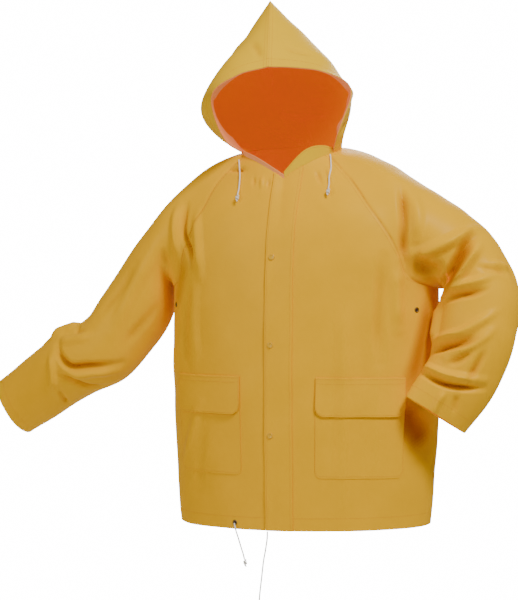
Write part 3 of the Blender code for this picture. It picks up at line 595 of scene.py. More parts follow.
def directions(skin):
    """Outward directions at every point, shared by all panels that meet there."""
    places, sums = [], []
    for name, grid in skin.items():
        if name.startswith("sleeve"):
            around = np.roll(grid, -1, 1) - np.roll(grid, 1, 1)
        else:
            around = np.gradient(grid, axis=1)
        along = np.gradient(grid, axis=0)
        places.append(grid.reshape(-1, 3))
        sums.append(TURN[name] * np.cross(around, along).reshape(-1, 3))
    keys = np.round(np.concatenate(places) / SAME_PLACE).astype(np.int64)
    _, which = np.unique(keys, axis=0, return_inverse=True)
    which = which.reshape(-1)
    totals = np.zeros((which.max() + 1, 3))
    np.add.at(totals, which, unit(np.concatenate(sums)))
    shared = unit(totals)[which]
    ways, start = {}, 0
    for name, grid in skin.items():
        count = grid.shape[0] * grid.shape[1]
        ways[name] = shared[start : start + count].reshape(grid.shape)
        start += count
    return ways


plain_ways = directions(plain)
print("panels with directions:", len(plain_ways))

# %% [markdown]
# ## Creases
#
# Coated cloth is stiff. It doesn't wrinkle finely: it buckles into a few broad folds where an arm
# bends or the shoulder pulls. A cloth simulation could find such folds, but not these ones in
# these places, so each fold is one row here: how far it stands out (or sinks in), how wide it is,
# how sharp its crest is, and the few places it runs through. Lengths are in millimetres.

# %% The folds
FOLDS = [
    # height, half width, sharpness from 0 to 1, then the places from one end to the other
    # right sleeve, front
    (9.5, 34, 0.1, ((-585, -15, -392), (-563, -21, -384), (-532, -22, -374), (-500, -30, -362))),
    (4.0, 17, 0.3, ((-545, -45, -395), (-515, -62, -398), (-480, -72, -392), (-440, -74, -385))),
    (-4.5, 12, 0.6, ((-500, -50, -365), (-495, -58, -380), (-470, -70, -378))),
    (-8.0, 15, 0.7, ((-545, -60, -400), (-532, -72, -430), (-508, -77, -450), (-463, -81, -450),
        (-390, -63, -443))),
    (5.0, 15, 0.3, ((-525, -75, -458), (-496, -74, -470), (-448, -74, -466), (-402, -56, -460))),
    (-6.5, 13, 0.7, ((-540, -69, -470), (-510, -70, -482), (-475, -54, -497), (-430, -40, -502))),
    (-5.0, 11, 0.7, ((-547, -52, -500), (-541, -22, -540))),
    (4.5, 16, 0.3, ((-562, -70, -420), (-556, -68, -465), (-560, -50, -510))),
    (3.5, 22, 0.1, ((-300, -80, -200), (-360, -85, -300), (-400, -80, -380))),
    (-3.0, 18, 0.3, ((-345, -75, -235), (-395, -75, -300), (-440, -70, -345))),
    (-3.0, 18, 0.4, ((-290, -60, -310), (-330, -70, -355), (-385, -70, -405))),
    # right armpit and shoulder
    (-7.5, 12, 0.8, ((-229, -88, -110), (-225, -100, -180), (-210, -109, -205), (-205, -112, -240))),
    (4.5, 16, 0.3, ((-250, -85, -105), (-252, -92, -170), (-245, -95, -225))),
    (4.0, 18, 0.2, ((-200, -105, -120), (-190, -118, -190), (-180, -125, -260))),
    (-3.0, 14, 0.3, ((-265, -60, -110), (-285, -75, -190), (-275, -80, -265))),
    # left sleeve, front
    (-8.0, 14, 0.6, ((229, -65, -75), (240, -90, -150), (240, -92, -215), (246, -85, -250))),
    (4.0, 18, 0.2, ((256, -70, -90), (268, -85, -150), (270, -88, -190))),
    (8.0, 19, 0.4, ((246, -92, -222), (283, -86, -214), (326, -84, -197), (374, -35, -165))),
    (-5.0, 22, 0.2, ((268, -80, -246), (300, -70, -246), (325, -75, -230))),
    (-11.0, 15, 0.8, ((372, -55, -180), (350, -80, -222), (332, -80, -252), (302, -40, -290))),
    (10.0, 15, 0.5, ((386, -60, -200), (368, -78, -232), (350, -80, -262), (330, -65, -285))),
    (6.0, 14, 0.5, ((318, -62, -292), (355, -83, -279), (385, -78, -272), (412, -55, -262))),
    (-7.0, 12, 0.7, ((312, -64, -310), (350, -84, -300), (385, -80, -294), (418, -55, -280))),
    (-4.0, 10, 0.6, ((388, -71, -245), (432, -43, -258))),
    (4.0, 13, 0.4, ((405, -60, -235), (440, -20, -245))),
    (8.0, 26, 0.1, ((300, -36, -310), (300, -45, -350), (292, -60, -400))),
    (7.5, 15, 0.5, ((286, -62, -392), (322, -90, -380), (361, -98, -370), (400, -85, -345),
        (425, -60, -325))),
    (-9.0, 13, 0.8, ((286, -70, -412), (325, -96, -400), (365, -100, -392), (405, -85, -372))),
    (5.5, 15, 0.3, ((330, -100, -420), (360, -102, -405), (405, -85, -375), (425, -60, -350))),
    (-5.0, 11, 0.6, ((330, -100, -436), (356, -103, -425), (380, -98, -408))),
    (-5.5, 12, 0.7, ((372, -102, -465), (392, -95, -425), (405, -85, -398))),
    (8.0, 13, 0.6, ((276, -85, -434), (304, -106, -444), (329, -112, -452), (362, -104, -458),
        (400, -85, -462))),
    (-9.0, 11, 0.8, ((276, -90, -452), (304, -108, -462), (330, -112, -472), (362, -104, -478),
        (400, -85, -480))),
    (4.5, 12, 0.4, ((330, -110, -482), (316, -115, -505), (300, -115, -535))),
    (-4.0, 12, 0.4, ((352, -108, -492), (345, -105, -530))),
    # chest, waist and hip
    (5.5, 20, 0.3, ((229, -98, -235), (228, -96, -298), (230, -93, -365))),
    (-4.0, 18, 0.3, ((205, -112, -225), (200, -112, -290), (196, -114, -370), (199, -112, -430))),
    (2.6, 24, 0.3, ((140, -136, -280), (135, -139, -334), (134, -137, -505), (131, -133, -663),
        (132, -130, -760))),
    (-1.6, 24, 0.2, ((172, -122, -300), (174, -122, -440), (172, -120, -640), (176, -118, -760))),
    (3.6, 22, 0.3, ((-180, -117, -520), (-207, -102, -588), (-232, -84, -645))),
    (-1.6, 22, 0.2, ((-165, -120, -560), (-182, -112, -620), (-190, -105, -700))),
    (-2.6, 22, 0.3, ((-215, -100, -300), (-225, -92, -380), (-222, -92, -450))),
    (2.6, 24, 0.2, ((-190, -112, -260), (-200, -108, -350), (-196, -110, -440))),
    (-1.8, 20, 0.3, ((-60, -110, -105), (-110, -110, -140), (-165, -100, -150))),
    (1.8, 20, 0.2, ((60, -110, -105), (110, -110, -150), (170, -100, -180))),
    # neck
    (-4.5, 8, 0.8, ((-140, -67, -38), (-118, -82, -39), (-92, -92, -44))),
    (-3.6, 6, 0.8, ((-72, -105, -60), (-64, -108, -85))),
    (2.4, 7, 0.4, ((-52, -107, -60), (-48, -112, -88))),
    (-3.0, 6, 0.8, ((-36, -107, -64), (-36, -112, -88))),
    (-2.4, 8, 0.5, ((60, -90, -50), (72, -96, -80))),
    (2.4, 8, 0.3, ((80, -80, -40), (92, -90, -75))),
    # hood
    (-2.5, 13, 0.7, ((-74, -112, 212), (-56, -130, 200), (-37, -150, 177))),
    (2.5, 26, 0.0, ((-150, -60, 130), (-125, -75, 190), (-100, -85, 240))),
    (-2.6, 13, 0.3, ((-8, -108, 202), (24, -90, 193), (47, -69, 189))),
    (-3.5, 16, 0.4, ((-140, -40, 60), (-130, -75, 40), (-112, -95, 20))),
    (3.5, 18, 0.2, ((-150, -30, 110), (-140, -80, 90), (-120, -115, 70))),
    (-3.0, 14, 0.4, ((120, 0, 60), (110, -40, 45), (95, -60, 25))),
    (3.0, 18, 0.2, ((120, 0, 120), (105, -45, 110), (90, -70, 95))),
    (-4.0, 18, 0.4, ((-100, 90, 60), (-30, 110, 50), (50, 95, 60))),
    (4.0, 20, 0.3, ((-105, 80, 100), (-30, 105, 92), (60, 85, 100))),
    (-3.0, 16, 0.4, ((-90, 80, 140), (-20, 85, 135), (40, 70, 140))),
    # back
    (4.5, 24, 0.3, ((-120, 105, -180), (-90, 118, -330), (-75, 120, -520), (-80, 122, -775))),
    (-4.0, 22, 0.3, ((-70, 108, -160), (-40, 120, -320), (-30, 122, -500), (-26, 124, -775))),
    (4.0, 22, 0.3, ((10, 108, -220), (25, 120, -420), (30, 122, -775))),
    (-4.5, 22, 0.4, ((100, 100, -150), (85, 114, -300), (78, 118, -520), (82, 118, -775))),
    (5.0, 24, 0.3, ((160, 85, -170), (140, 104, -330), (135, 110, -560), (140, 108, -775))),
    (-4.5, 20, 0.4, ((-185, 75, -200), (-160, 98, -340), (-150, 105, -560), (-152, 104, -775))),
    (-4.0, 18, 0.4, ((200, 70, -230), (205, 80, -380), (198, 82, -600))),
    (-2.5, 14, 0.4, ((-120, 80, -50), (-50, 100, -85), (20, 98, -90), (90, 80, -50))),
    # backs of the sleeves
    (-6.0, 16, 0.5, ((-228, 60, -110), (-232, 80, -180), (-220, 85, -250))),
    (5.0, 18, 0.3, ((-300, 60, -200), (-360, 60, -300), (-420, 55, -390))),
    (-5.0, 15, 0.5, ((-440, 45, -350), (-470, 55, -410), (-465, 50, -470))),
    (5.0, 16, 0.3, ((-490, 35, -370), (-510, 45, -430), (-500, 40, -490))),
    (-4.0, 14, 0.4, ((-540, 30, -400), (-555, 35, -450), (-550, 30, -500))),
    (-6.0, 16, 0.5, ((232, 60, -110), (238, 78, -180), (230, 80, -250))),
    (5.5, 18, 0.3, ((290, 60, -150), (330, 65, -220), (350, 60, -300))),
    (-5.0, 15, 0.5, ((330, 60, -140), (380, 50, -200), (405, 35, -270))),
    (5.0, 15, 0.3, ((340, 30, -350), (380, 30, -340), (425, 10, -320))),
    (-5.0, 14, 0.5, ((320, 10, -390), (360, 15, -385), (410, -5, -370))),
    (4.5, 15, 0.3, ((310, -10, -430), (350, -5, -425), (395, -20, -415))),
    # outer sides of the sleeves
    (-4.5, 15, 0.4, ((425, -30, -230), (440, -10, -300), (435, -15, -350))),
    (-4.5, 14, 0.4, ((410, -60, -330), (435, -30, -325), (430, 0, -315))),
]
print("folds:", len(FOLDS))

# %% [markdown]
# ## Where shade is painted
#
# These rows name places where shade is painted into the colour, which turns darker and redder
# there. The deep creases add painted shade of their own.

# %% Places of painted shade
PAINTED_SHADE_PLACES = [
    # strength, half width, then the places
    (0.8, 27, ((280, -31, -288), (271, -51, -368), (251, -74, -462), (239, -84, -498))),
    (1.0, 44, ((240, -83, -505), (246, -77, -545), (262, -58, -580), (269, -44, -607))),
    (0.45, 36, ((250, -88, -228), (278, -69, -249), (300, -61, -261))),
    (0.85, 20, ((367, -55, -183), (356, -77, -217), (341, -81, -250), (323, -71, -279),
        (308, -51, -294))),
    (0.5, 30, ((-215, -100, -215), (-235, -80, -270), (-262, -60, -330))),
]
print("shaded places:", len(PAINTED_SHADE_PLACES))

# %% [markdown]
# ## What one fold does
#
# A fold could be a sculpted stroke, but a stroke can't be moved or widened later. This function
# gives the height of a fold at any point: full on its line, falling off to its sides, softly or
# crisply as its sharpness says, and fading towards its ends.

# %% One fold
END_SHARE = 0.3  # share of its length over which a fold fades
END_HEIGHT = 0.25  # what is left of its height at its very end
CRISP_POWER = 1.7


def fold_height(points, height, half_width, sharpness, route):
    """How far a fold moves each point: full along its middle, fading at its sides and ends."""
    route = np.array(route)
    far = np.concatenate([[0], np.cumsum(np.linalg.norm(np.diff(route, axis=0), axis=1))])
    reach = half_width / 1000
    share = np.linspace(0, 1, int(far[-1] / (0.22 * reach)) + 8)
    line = smooth(far, route, share * far[-1])
    near = np.all((points > line.min(0) - reach) & (points < line.max(0) + reach), axis=1)
    moved = np.zeros(len(points))
    if not near.any():
        return moved
    gaps = np.linalg.norm(points[near][:, None] - line[None], axis=2)
    closest = gaps.argmin(1)
    off = np.clip(gaps.min(1) / reach, 0, 1)
    soft, crisp = (1 - off**2) ** 2, (1 - off) ** CRISP_POWER
    ends = ease(share / END_SHARE) * ease((1 - share) / END_SHARE)
    ends = END_HEIGHT + (1 - END_HEIGHT) * ends
    moved[near] = height / 1000 * (soft + (crisp - soft) * sharpness) * ends[closest]
    return moved


middle = fold_height(np.zeros((1, 3)), 4, 20, 0, ((-0.1, 0, 0), (0.1, 0, 0)))
print("a 4 mm fold at its middle in mm:", round(1000 * float(middle[0]), 2))

# %% [markdown]
# ## Small unevenness
#
# Between its folds cloth is never quite even, so a few slow waves are added. At the neck seam the
# panels meet at angles and would come apart if they moved, so there nothing moves.

# %% Unevenness, and rest on the neck seam
WAVES = ((31, 9, 14), (-17, 22, 27), (12, -30, -38), (43, 16, -25), (-52, 21, 47))
UNEVENNESS = 0.00075
NECK_STILL = 0.003  # within this distance of the neck seam nothing moves
NECK_FADE = 0.022


def waver(points):
    """A slow unevenness of about a millimetre, as in any cloth that isn't stretched."""
    total = np.zeros(len(points))
    for number, wave in enumerate(WAVES):
        total += np.sin(points @ np.array(wave) * 1.6 + 1.7 * number) / (1.4 + 0.5 * number)
    return UNEVENNESS * total


def neck_hold(points):
    """0 on the neck seam, where the panels meet at angles and nothing may move, 1 away from it."""
    seam = neck(np.arange(-180, 180, 4.0))
    nearest = np.full(len(points), 1.0)
    for place in seam:
        nearest = np.minimum(nearest, np.linalg.norm(points - place, axis=1))
    return ease((nearest - NECK_STILL) / NECK_FADE)


print("waves in the cloth:", len(WAVES))

# %% [markdown]
# ## All folds together
#
# Every point of the skin is moved along its outward direction by the sum of all folds there. How
# deep in a crease it lies is kept beside it as painted shade, which darkens the colour there.

# %% Press the folds in
FOLD_GAIN = 1.7  # all folds together: more is a stiffer cloth
SEAM_GROOVE = 1.1  # mm
# The next three values only set painted shade: its strength in the seam grooves, the fold depth at which
# it is full, and how fast it fades to a fold's sides.
SEAM_SHADE = 0.35
FULL_SHADE_FOLD = 8  # mm, from which a fold is fully dark
SHADE_FALLOFF = 1.6


def press(skin, ways):
    """The skin with all its folds in it, and the painted shade at each point, from 0 to 1."""
    below = len(HEIGHTS) - 1
    seams = [skin["front_left"][below:, -1], skin["front_right"][below:, -1]]
    seams += [skin["back"][below:, 0], skin["back"][below:, -1]]
    pressed, painted_shades = {}, {}
    for name, grid in skin.items():
        points = grid.reshape(-1, 3)
        height = waver(points)
        painted_shade = np.zeros(len(points))
        for seam in seams:  # the thread pulls a narrow groove along each raglan seam
            groove = fold_height(points, -SEAM_GROOVE, 5, 0.5, seam[::6])
            height += groove
            # painted shade along the groove
            painted_shade = np.maximum(painted_shade, SEAM_SHADE * (1000 * groove / SEAM_GROOVE) ** 2)
        for height_mm, half_width, sharpness, route in FOLDS:
            route = np.array(route) / 1000
            moved = fold_height(points, FOLD_GAIN * height_mm, half_width, sharpness, route)
            height += moved
            # a sunken fold also darkens the colour: painted shade, fuller where deeper and crisper
            if height_mm < 0:
                share = moved / (FOLD_GAIN * height_mm / 1000)
                depth = min(1, -height_mm / FULL_SHADE_FOLD) * min(1, 1.4 * sharpness)
                painted_shade = np.maximum(painted_shade, depth * share**SHADE_FALLOFF)
        # painted shade at the listed places
        for strength, half_width, route in PAINTED_SHADE_PLACES:
            route = np.array(route) / 1000
            painted_shade = np.maximum(painted_shade, strength * fold_height(points, 1000, half_width, 0, route))
        height *= neck_hold(points)
        pressed[name] = (points + ways[name].reshape(-1, 3) * height[:, None]).reshape(grid.shape)
        painted_shades[name] = painted_shade.reshape(grid.shape[:2])
    return pressed, painted_shades


cloth, painted_shades = press(plain, plain_ways)
ways = directions(cloth)
deepest = max(float(np.linalg.norm(cloth[name] - plain[name], axis=-1).max()) for name in cloth)
print("largest move in mm:", round(1000 * deepest, 1))

# %% [markdown]
# ## Materials
#
# The cloth is a polyester weave under a soft plastic film. The film gives the broad dull shine,
# and the weave under it prints a very fine grain through. An image texture would repeat and
# blur; noise in a node group doesn't, and every yellow finish uses it with its own colour.

# %% Helpers for node trees
def add_node(tree, kind, values=None, **settings):
    """A node with its settings and with constants on its sockets."""
    node = tree.nodes.new(kind)
    for setting, value in settings.items():
        setattr(node, setting, value)
    for socket, value in (values or {}).items():
        node.inputs[socket].default_value = value
    return node


def wire(tree, *links):
    """Links, each given as a node, its output, the next node and its input."""
    for source, output, target, entry in links:
        tree.links.new(source.outputs[output], target.inputs[entry])


def fresh(name, values):
    """A material with constants on its shader's own sockets."""
    material = bpy.data.materials.new(name)
    material.use_nodes = True
    shader = material.node_tree.nodes["Principled BSDF"]
    for socket, value in values.items():
        shader.inputs[socket].default_value = value
    return material, material.node_tree, shader


print("helpers:", add_node.__name__, wire.__name__, fresh.__name__)

# %% [markdown]
# ## The grain
#
# The group takes a colour and a shine and gives them back slightly clouded, with the pebbled film
# as a normal and the colour darkened by painted shade. Object coordinates keep the grain at its true size.

# %% Grain shared by all the coated cloth
PAINTED_SHADE_TONE = (0.50, 0.26, 0.15, 1.0)  # painted shade: the colour turns darker and redder by this tone


def grain_group():
    group = bpy.data.node_groups.new("coated grain", "ShaderNodeTree")
    for label, way, kind in (("Colour", "INPUT", "Color"), ("Shine", "INPUT", "Float"),
                             ("Base Color", "OUTPUT", "Color"), ("Roughness", "OUTPUT", "Float"),
                             ("Normal", "OUTPUT", "Vector")):
        group.interface.new_socket(label, in_out=way, socket_type="NodeSocket" + kind)
    given, result = add_node(group, "NodeGroupInput"), add_node(group, "NodeGroupOutput")
    place = add_node(group, "ShaderNodeTexCoord")
    pebble = add_node(group, "ShaderNodeTexNoise", {"Scale": 950.0, "Detail": 2.0})
    cloudy = add_node(group, "ShaderNodeTexNoise", {"Scale": 22.0, "Detail": 3.0})
    tint = add_node(group, "ShaderNodeMapRange", {"To Min": 0.955, "To Max": 1.03})
    shade = add_node(group, "ShaderNodeVectorMath", operation="SCALE")
    # the piece's stored amount of painted shade
    painted_shade = add_node(group, "ShaderNodeAttribute", attribute_name="painted_shade")
    painted_shade_mix = add_node(group, "ShaderNodeMix", {"B": PAINTED_SHADE_TONE}, data_type="RGBA", blend_type="MULTIPLY")
    uneven = add_node(group, "ShaderNodeMapRange", {"To Min": -0.06, "To Max": 0.06})
    rough = add_node(group, "ShaderNodeMath", operation="ADD")
    bump = add_node(group, "ShaderNodeBump", {"Strength": 0.22, "Distance": 0.0003})
    wire(
        group,
        (place, "Object", pebble, "Vector"),
        (place, "Object", cloudy, "Vector"),
        (cloudy, "Fac", tint, "Value"),
        (given, "Colour", shade, 0),
        (tint, "Result", shade, "Scale"),
        (painted_shade, "Fac", painted_shade_mix, "Factor"),
        (shade, "Vector", painted_shade_mix, "A"),
        (cloudy, "Fac", uneven, "Value"),
        (given, "Shine", rough, 0),
        (uneven, "Result", rough, 1),
        (pebble, "Fac", bump, "Height"),
        (painted_shade_mix, "Result", result, "Base Color"),
        (rough, "Value", result, "Roughness"),
        (bump, "Normal", result, "Normal"),
    )
    return group


GRAIN = grain_group()
print("nodes in the grain:", len(GRAIN.nodes))

# %% [markdown]
# ## Finishes
#
# The outside is yellow. The hood and neckband are paler copies of it, painted light for cloth
# that is lit through. The inside is uncoated, in an orange deeper than the yellow as painted shade,
# and the peach casing is a paler copy of it as painted light; both also glow a little as painted
# light. Thread, studs, brass and the shade in an eyelet's hole are simple finishes whose shine varies
# a little, as on anything that is touched.

# %% Finishes
WEAR = 0.07


def coated(name, colour, shine=0.42, painted_glow=0.0):
    """Coated cloth. Its glow is painted light: the cloth's own colour given off, as if lit from behind."""
    values = {"Specular IOR Level": 0.09, "Emission Color": (*colour, 1.0), "Emission Strength": painted_glow}
    material, tree, shader = fresh(name, values)
    grain = add_node(tree, "ShaderNodeGroup", node_tree=GRAIN)
    grain.inputs["Colour"].default_value = (*colour, 1.0)
    grain.inputs["Shine"].default_value = shine
    wire(tree, *[(grain, socket, shader, socket) for socket in ("Base Color", "Roughness", "Normal")])
    return material


def simple(name, colour, roughness, metallic=0.0):
    """A smooth finish with faint wear in its shine."""
    material, tree, shader = fresh(name, {"Base Color": (*colour, 1.0), "Metallic": metallic})
    place = add_node(tree, "ShaderNodeTexCoord")
    wear = add_node(tree, "ShaderNodeTexNoise", {"Scale": 400.0})
    level = add_node(tree, "ShaderNodeMapRange", {"To Min": roughness - WEAR, "To Max": roughness + WEAR})
    wire(tree, (place, "Object", wear, "Vector"), (wear, "Fac", level, "Value"),
         (level, "Result", shader, "Roughness"))
    return material


OUTSIDE = coated("yellow coated outside", (1.0, 0.52, 0.0))
# The hood and neckband yellows are paler copies of the outside's: painted light.
HOOD_PAINTED_LIGHTER = coated("yellow coated hood", (1.0, 0.59, 0.0))
NECKBAND_PAINTED_LIGHTER = coated("yellow coated neckband", (1.0, 0.62, 0.0))
# The inside's deep orange is painted shade and the peach is a paler copy of it as painted light; both also
# glow a little as painted light.
INSIDE_PAINTED_SHADE_AND_GLOW = coated("orange inside", (1.0, 0.33, 0.0), shine=0.60, painted_glow=0.12)
PEACH_PAINTED_LIGHT = coated("peach casing", (1.0, 0.40, 0.16), shine=0.60, painted_glow=0.12)
THREAD = simple("yellow thread", (0.80, 0.36, 0.01), 0.65)
STUD = simple("yellow lacquered stud", (0.80, 0.44, 0.012), 0.28)
BRASS = simple("dark brass", (0.20, 0.13, 0.05), 0.38, metallic=0.7)
HOLE = simple("shade in the hole", (0.02, 0.012, 0.004), 0.80)
print("finishes:", len(bpy.data.materials))

# %% [markdown]
# ## Panels
#
# Each panel becomes a closed thin wall: the outer face, the inner face a cloth's thickness below,
# and a rounded edge between them. A Solidify modifier could do that, but not with its own colour
# inside and a thicker hem. A hem is the same cloth folded back, so the wall is simply twice as
# thick along it.

# %% Grids as meshes
SHARP_FROM = math.radians(42)


def add_piece(name, points, faces, finishes, kinds=None, painted_shade=None):
    mesh = bpy.data.meshes.new(name)
    mesh.from_pydata([tuple(point) for point in points], [], faces)
    if painted_shade is not None:
        mesh.attributes.new("painted_shade", "FLOAT", "POINT").data.foreach_set("value", painted_shade)
    for finish in finishes:
        mesh.materials.append(finish)
    if kinds is not None:
        mesh.polygons.foreach_set("material_index", kinds)
    work = bmesh.new()
    work.from_mesh(mesh)
    bmesh.ops.remove_doubles(work, verts=work.verts, dist=1e-6)
    bmesh.ops.dissolve_degenerate(work, edges=work.edges, dist=1e-7)
    work.to_mesh(mesh)
    work.free()
    mesh.polygons.foreach_set("use_smooth", [True] * len(mesh.polygons))
    mesh.set_sharp_from_angle(angle=SHARP_FROM)
    thing = bpy.data.objects.new(name, mesh)
    bpy.context.scene.collection.objects.link(thing)
    return thing


def cell_faces(rows, columns, wrap, flipped, first=0):
    """Four-sided cells of a grid whose points are numbered row by row from `first`."""
    across = columns if wrap else columns - 1
    i, j = np.meshgrid(np.arange(rows - 1), np.arange(across), indexing="ij")
    a = first + i * columns + j
    b = first + i * columns + (j + 1) % columns
    c, d = b + columns, a + columns
    order = (a, d, c, b) if flipped else (a, b, c, d)
    return np.stack([corner.reshape(-1) for corner in order], 1)


def rims(rows, columns, wrap):
    """The border of a grid as closed rounds of point numbers."""
    top = (rows - 1) * columns
    if wrap:
        return [np.arange(columns), top + np.arange(columns)[::-1]]
    return [np.concatenate([
        np.arange(columns),
        columns - 1 + columns * np.arange(1, rows),
        top + np.arange(columns - 1)[::-1],
        columns * np.arange(1, rows - 1)[::-1],
    ])]


print("cells in a grid of 3 by 4 points:", len(cell_faces(3, 4, False, False)))

# %% [markdown]
# ## From a grid to a wall
#
# The outer points are the grid itself, the inner ones lie a thickness below, and one more round of
# points bulges between them along every border, so that a cut edge catches the light.

# %% Closed walls
ROUND_EDGE = 0.35  # bulge of an edge as a share of the thickness
HEM_LAYERS = 2.1
HEM_STEP = 0.002  # distance over which a hem thins to one layer


def wall(name, grid, way, finishes, turn, wrap=False, thick=CLOTH, painted_shade=None):
    """A closed wall whose outer face is the grid. `thick` may be one number or one per point."""
    rows, columns = grid.shape[:2]
    depth = np.broadcast_to(np.asarray(thick, float), (rows, columns))[..., None]
    inner = grid - way * depth
    outer_points, inner_points = grid.reshape(-1, 3), inner.reshape(-1, 3)
    flat_ways, flat_depth = way.reshape(-1, 3), depth.reshape(-1, 1)
    count = rows * columns
    points = [outer_points, inner_points]
    faces = [cell_faces(rows, columns, wrap, turn < 0), cell_faces(rows, columns, wrap, turn > 0, count)]
    kinds = [np.zeros(len(faces[0]), int), np.full(len(faces[1]), len(finishes) - 1)]
    start = 2 * count
    for loop in rims(rows, columns, wrap):
        tangent = unit(outer_points[np.roll(loop, -1)] - outer_points[np.roll(loop, 1)])
        outward = turn * np.cross(tangent, flat_ways[loop])
        middle = outer_points[loop] - flat_ways[loop] * flat_depth[loop] / 2
        points.append(middle + unit(outward) * flat_depth[loop] * ROUND_EDGE)
        here = start + np.arange(len(loop))
        for one, other in ((loop, here), (here, loop + count)):
            one_next = np.roll(one, -1)
            other_next = np.roll(other, -1)
            order = (one, other, other_next, one_next)
            faces.append(np.stack(order if turn > 0 else order[::-1], 1))
            kinds.append(np.zeros(len(loop), int))
        start += len(loop)
    points, faces = np.concatenate(points), np.concatenate(faces)
    if painted_shade is not None:
        painted_shade = np.concatenate([painted_shade.reshape(-1), np.zeros(len(points) - count)]).astype(np.float32)
    return add_piece(name, points, faces.tolist(), finishes, np.concatenate(kinds).tolist(), painted_shade=painted_shade)


def hem_depth(grid, start=0):
    """Thickness of a panel whose rows start at a folded hem (or end at one, with start -1)."""
    steps = np.linalg.norm(np.diff(grid, axis=0), axis=2).mean(axis=1)
    far = np.concatenate([[0], np.cumsum(steps)])
    if start == -1:
        far = far[-1] - far
    single = ease((far - HEM_TURN + HEM_STEP) / HEM_STEP)
    return CLOTH * (HEM_LAYERS - (HEM_LAYERS - 1) * single)[:, None]


print("a hem's thickness in mm:", round(1000 * float(hem_depth(cloth["back"]).max()), 2))

# %% [markdown]
# ## What each piece stands for
#
# A finished piece rides on the jacket's one body and takes the place of the imported piece of the
# same name. A panel also says how large its flat cut is.

# %% What each piece stands for
def wants_sheet(thing, grid, wrap=False):
    """Prints the size of a panel's cut, measured on its own rows and columns."""
    closed = np.concatenate([grid, grid[:, :1]], 1) if wrap else grid
    width = np.linalg.norm(np.diff(closed, axis=1), axis=2).sum(axis=1).max()
    length = np.linalg.norm(np.diff(closed, axis=0), axis=2).sum(axis=0).max()
    one, other = closed[1:, 1:] - closed[:-1, :-1], closed[1:, :-1] - closed[:-1, 1:]
    area = 0.5 * np.linalg.norm(np.cross(one, other), axis=2).sum()
    width, length = round(float(width), 3), round(float(length), 3)
    area = round(min(float(area), width * length), 4)
    print(f"{thing.name}: {width} x {length} m, {area} m2")


def finished(thing, slot, *nodes):
    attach(thing, "root")
    if nodes:
        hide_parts(*nodes)
    return thing


print("panels to make:", ", ".join(cloth))

# %% [markdown]
# ## The nine panels
#
# Fronts, back and sleeves end in a folded hem, so their walls are thicker there. The hood and the
# neckbands are given paler yellows, painted light. The neckband at the wearer's right is folded over
# and shows the uncoated side, given the casing's paler peach as painted light.

# %% Fronts, back, sleeves, hood and neckbands
OUTSIDES = {"hood": HOOD_PAINTED_LIGHTER, "neckband": NECKBAND_PAINTED_LIGHTER}
SLOTS = {"front": "yellow_front", "back": "yellow_back", "sleeve": "yellow_sleeve",
         "hood": "yellow_hood", "neckband": "yellow_neckband"}
made = {}
for name, grid in cloth.items():
    kind = name.split("_")[0]
    outside = OUTSIDES.get(kind, OUTSIDE)
    # the folded neckband takes the casing's peach, painted light
    if name == "neckband_right":
        outside = PEACH_PAINTED_LIGHT
    is_sleeve = kind == "sleeve"
    thick = CLOTH
    if kind in ("front", "back"):
        thick = hem_depth(grid)
    if is_sleeve:
        thick = hem_depth(grid, start=-1)
    made[name] = wall(name, grid, ways[name], [outside, INSIDE_PAINTED_SHADE_AND_GLOW], TURN[name], is_sleeve, thick,
                      painted_shade=painted_shades[name])
    finished(made[name], SLOTS[kind], name)
    triangle_count = sum(len(face.vertices) - 2 for face in made[name].data.polygons)
    print(name, "triangles:", triangle_count)

# %% [markdown]
# ## What lies on the panels
#
# The placket, pocket patches and flaps are sewn onto the fronts. They could be flat boxes set
# against the cloth, but then folds would cut through them. They are made from points of the
# front itself, moved out, so they follow each fold below them.

# %% Lay pieces on the cloth
LOOK_FROM = 0.03  # height above the cloth from which a point is dropped


def tree_of(grids, names):
    points, faces, start = [], [], 0
    for name in names:
        rows, columns = grids[name].shape[:2]
        points.append(grids[name].reshape(-1, 3))
        wrap = name.startswith("sleeve")
        faces.append(cell_faces(rows, columns, wrap, TURN[name] < 0, start))
        start += rows * columns
    return BVHTree.FromPolygons(np.concatenate(points).tolist(), np.concatenate(faces).tolist())


def laid(points, out, lift, tree):
    """Points dropped onto the cloth along `out`, then raised by `lift`."""
    shape = np.shape(points)
    points, out = np.reshape(points, (-1, 3)), np.reshape(out, (-1, 3))
    lift = np.broadcast_to(lift, shape[:-1]).reshape(-1)
    dropped = []
    for point, way, height in zip(points, out, lift):
        met = tree.ray_cast(Vector(point + LOOK_FROM * way), Vector(-way), 2 * LOOK_FROM)[0]
        base = point if met is None else np.array(met)
        dropped.append(base + way * height)
    return np.array(dropped).reshape(shape)


everything = tree_of(cloth, list(cloth))
print("panels to lay on:", len(cloth))

# %% [markdown]
# ## A patch
#
# A pocket and a flap are the same shape at two sizes: a rectangle, measured along the cloth, with
# round lower corners. Its columns stand closer at the sides, where the corners need them.

# %% A patch with rounded lower corners
FLAP_WIDTH = 0.178
FLAP_IN_LEFT = 0.078
FLAP_IN_RIGHT = 0.083
FLAP_CORNER = 0.020
POCKET_LOW_Z = -0.660
POCKET_TOP_Z = -0.478
POCKET_CLOTH = 0.0008
POCKET_CORNER = 0.012
FLAP_CLOTH = 0.0018


def plain_front(side, distance, height):
    """Points and directions on a front, at distances along the cloth and heights."""
    distance, height = np.broadcast_arrays(distance, height)
    angles = side * angle_along(distance)
    points = torso(angles, height)
    across = torso(angles + 0.2, height) - points
    upward = torso(angles, height + 0.002) - points
    return points, unit(np.cross(across, upward))


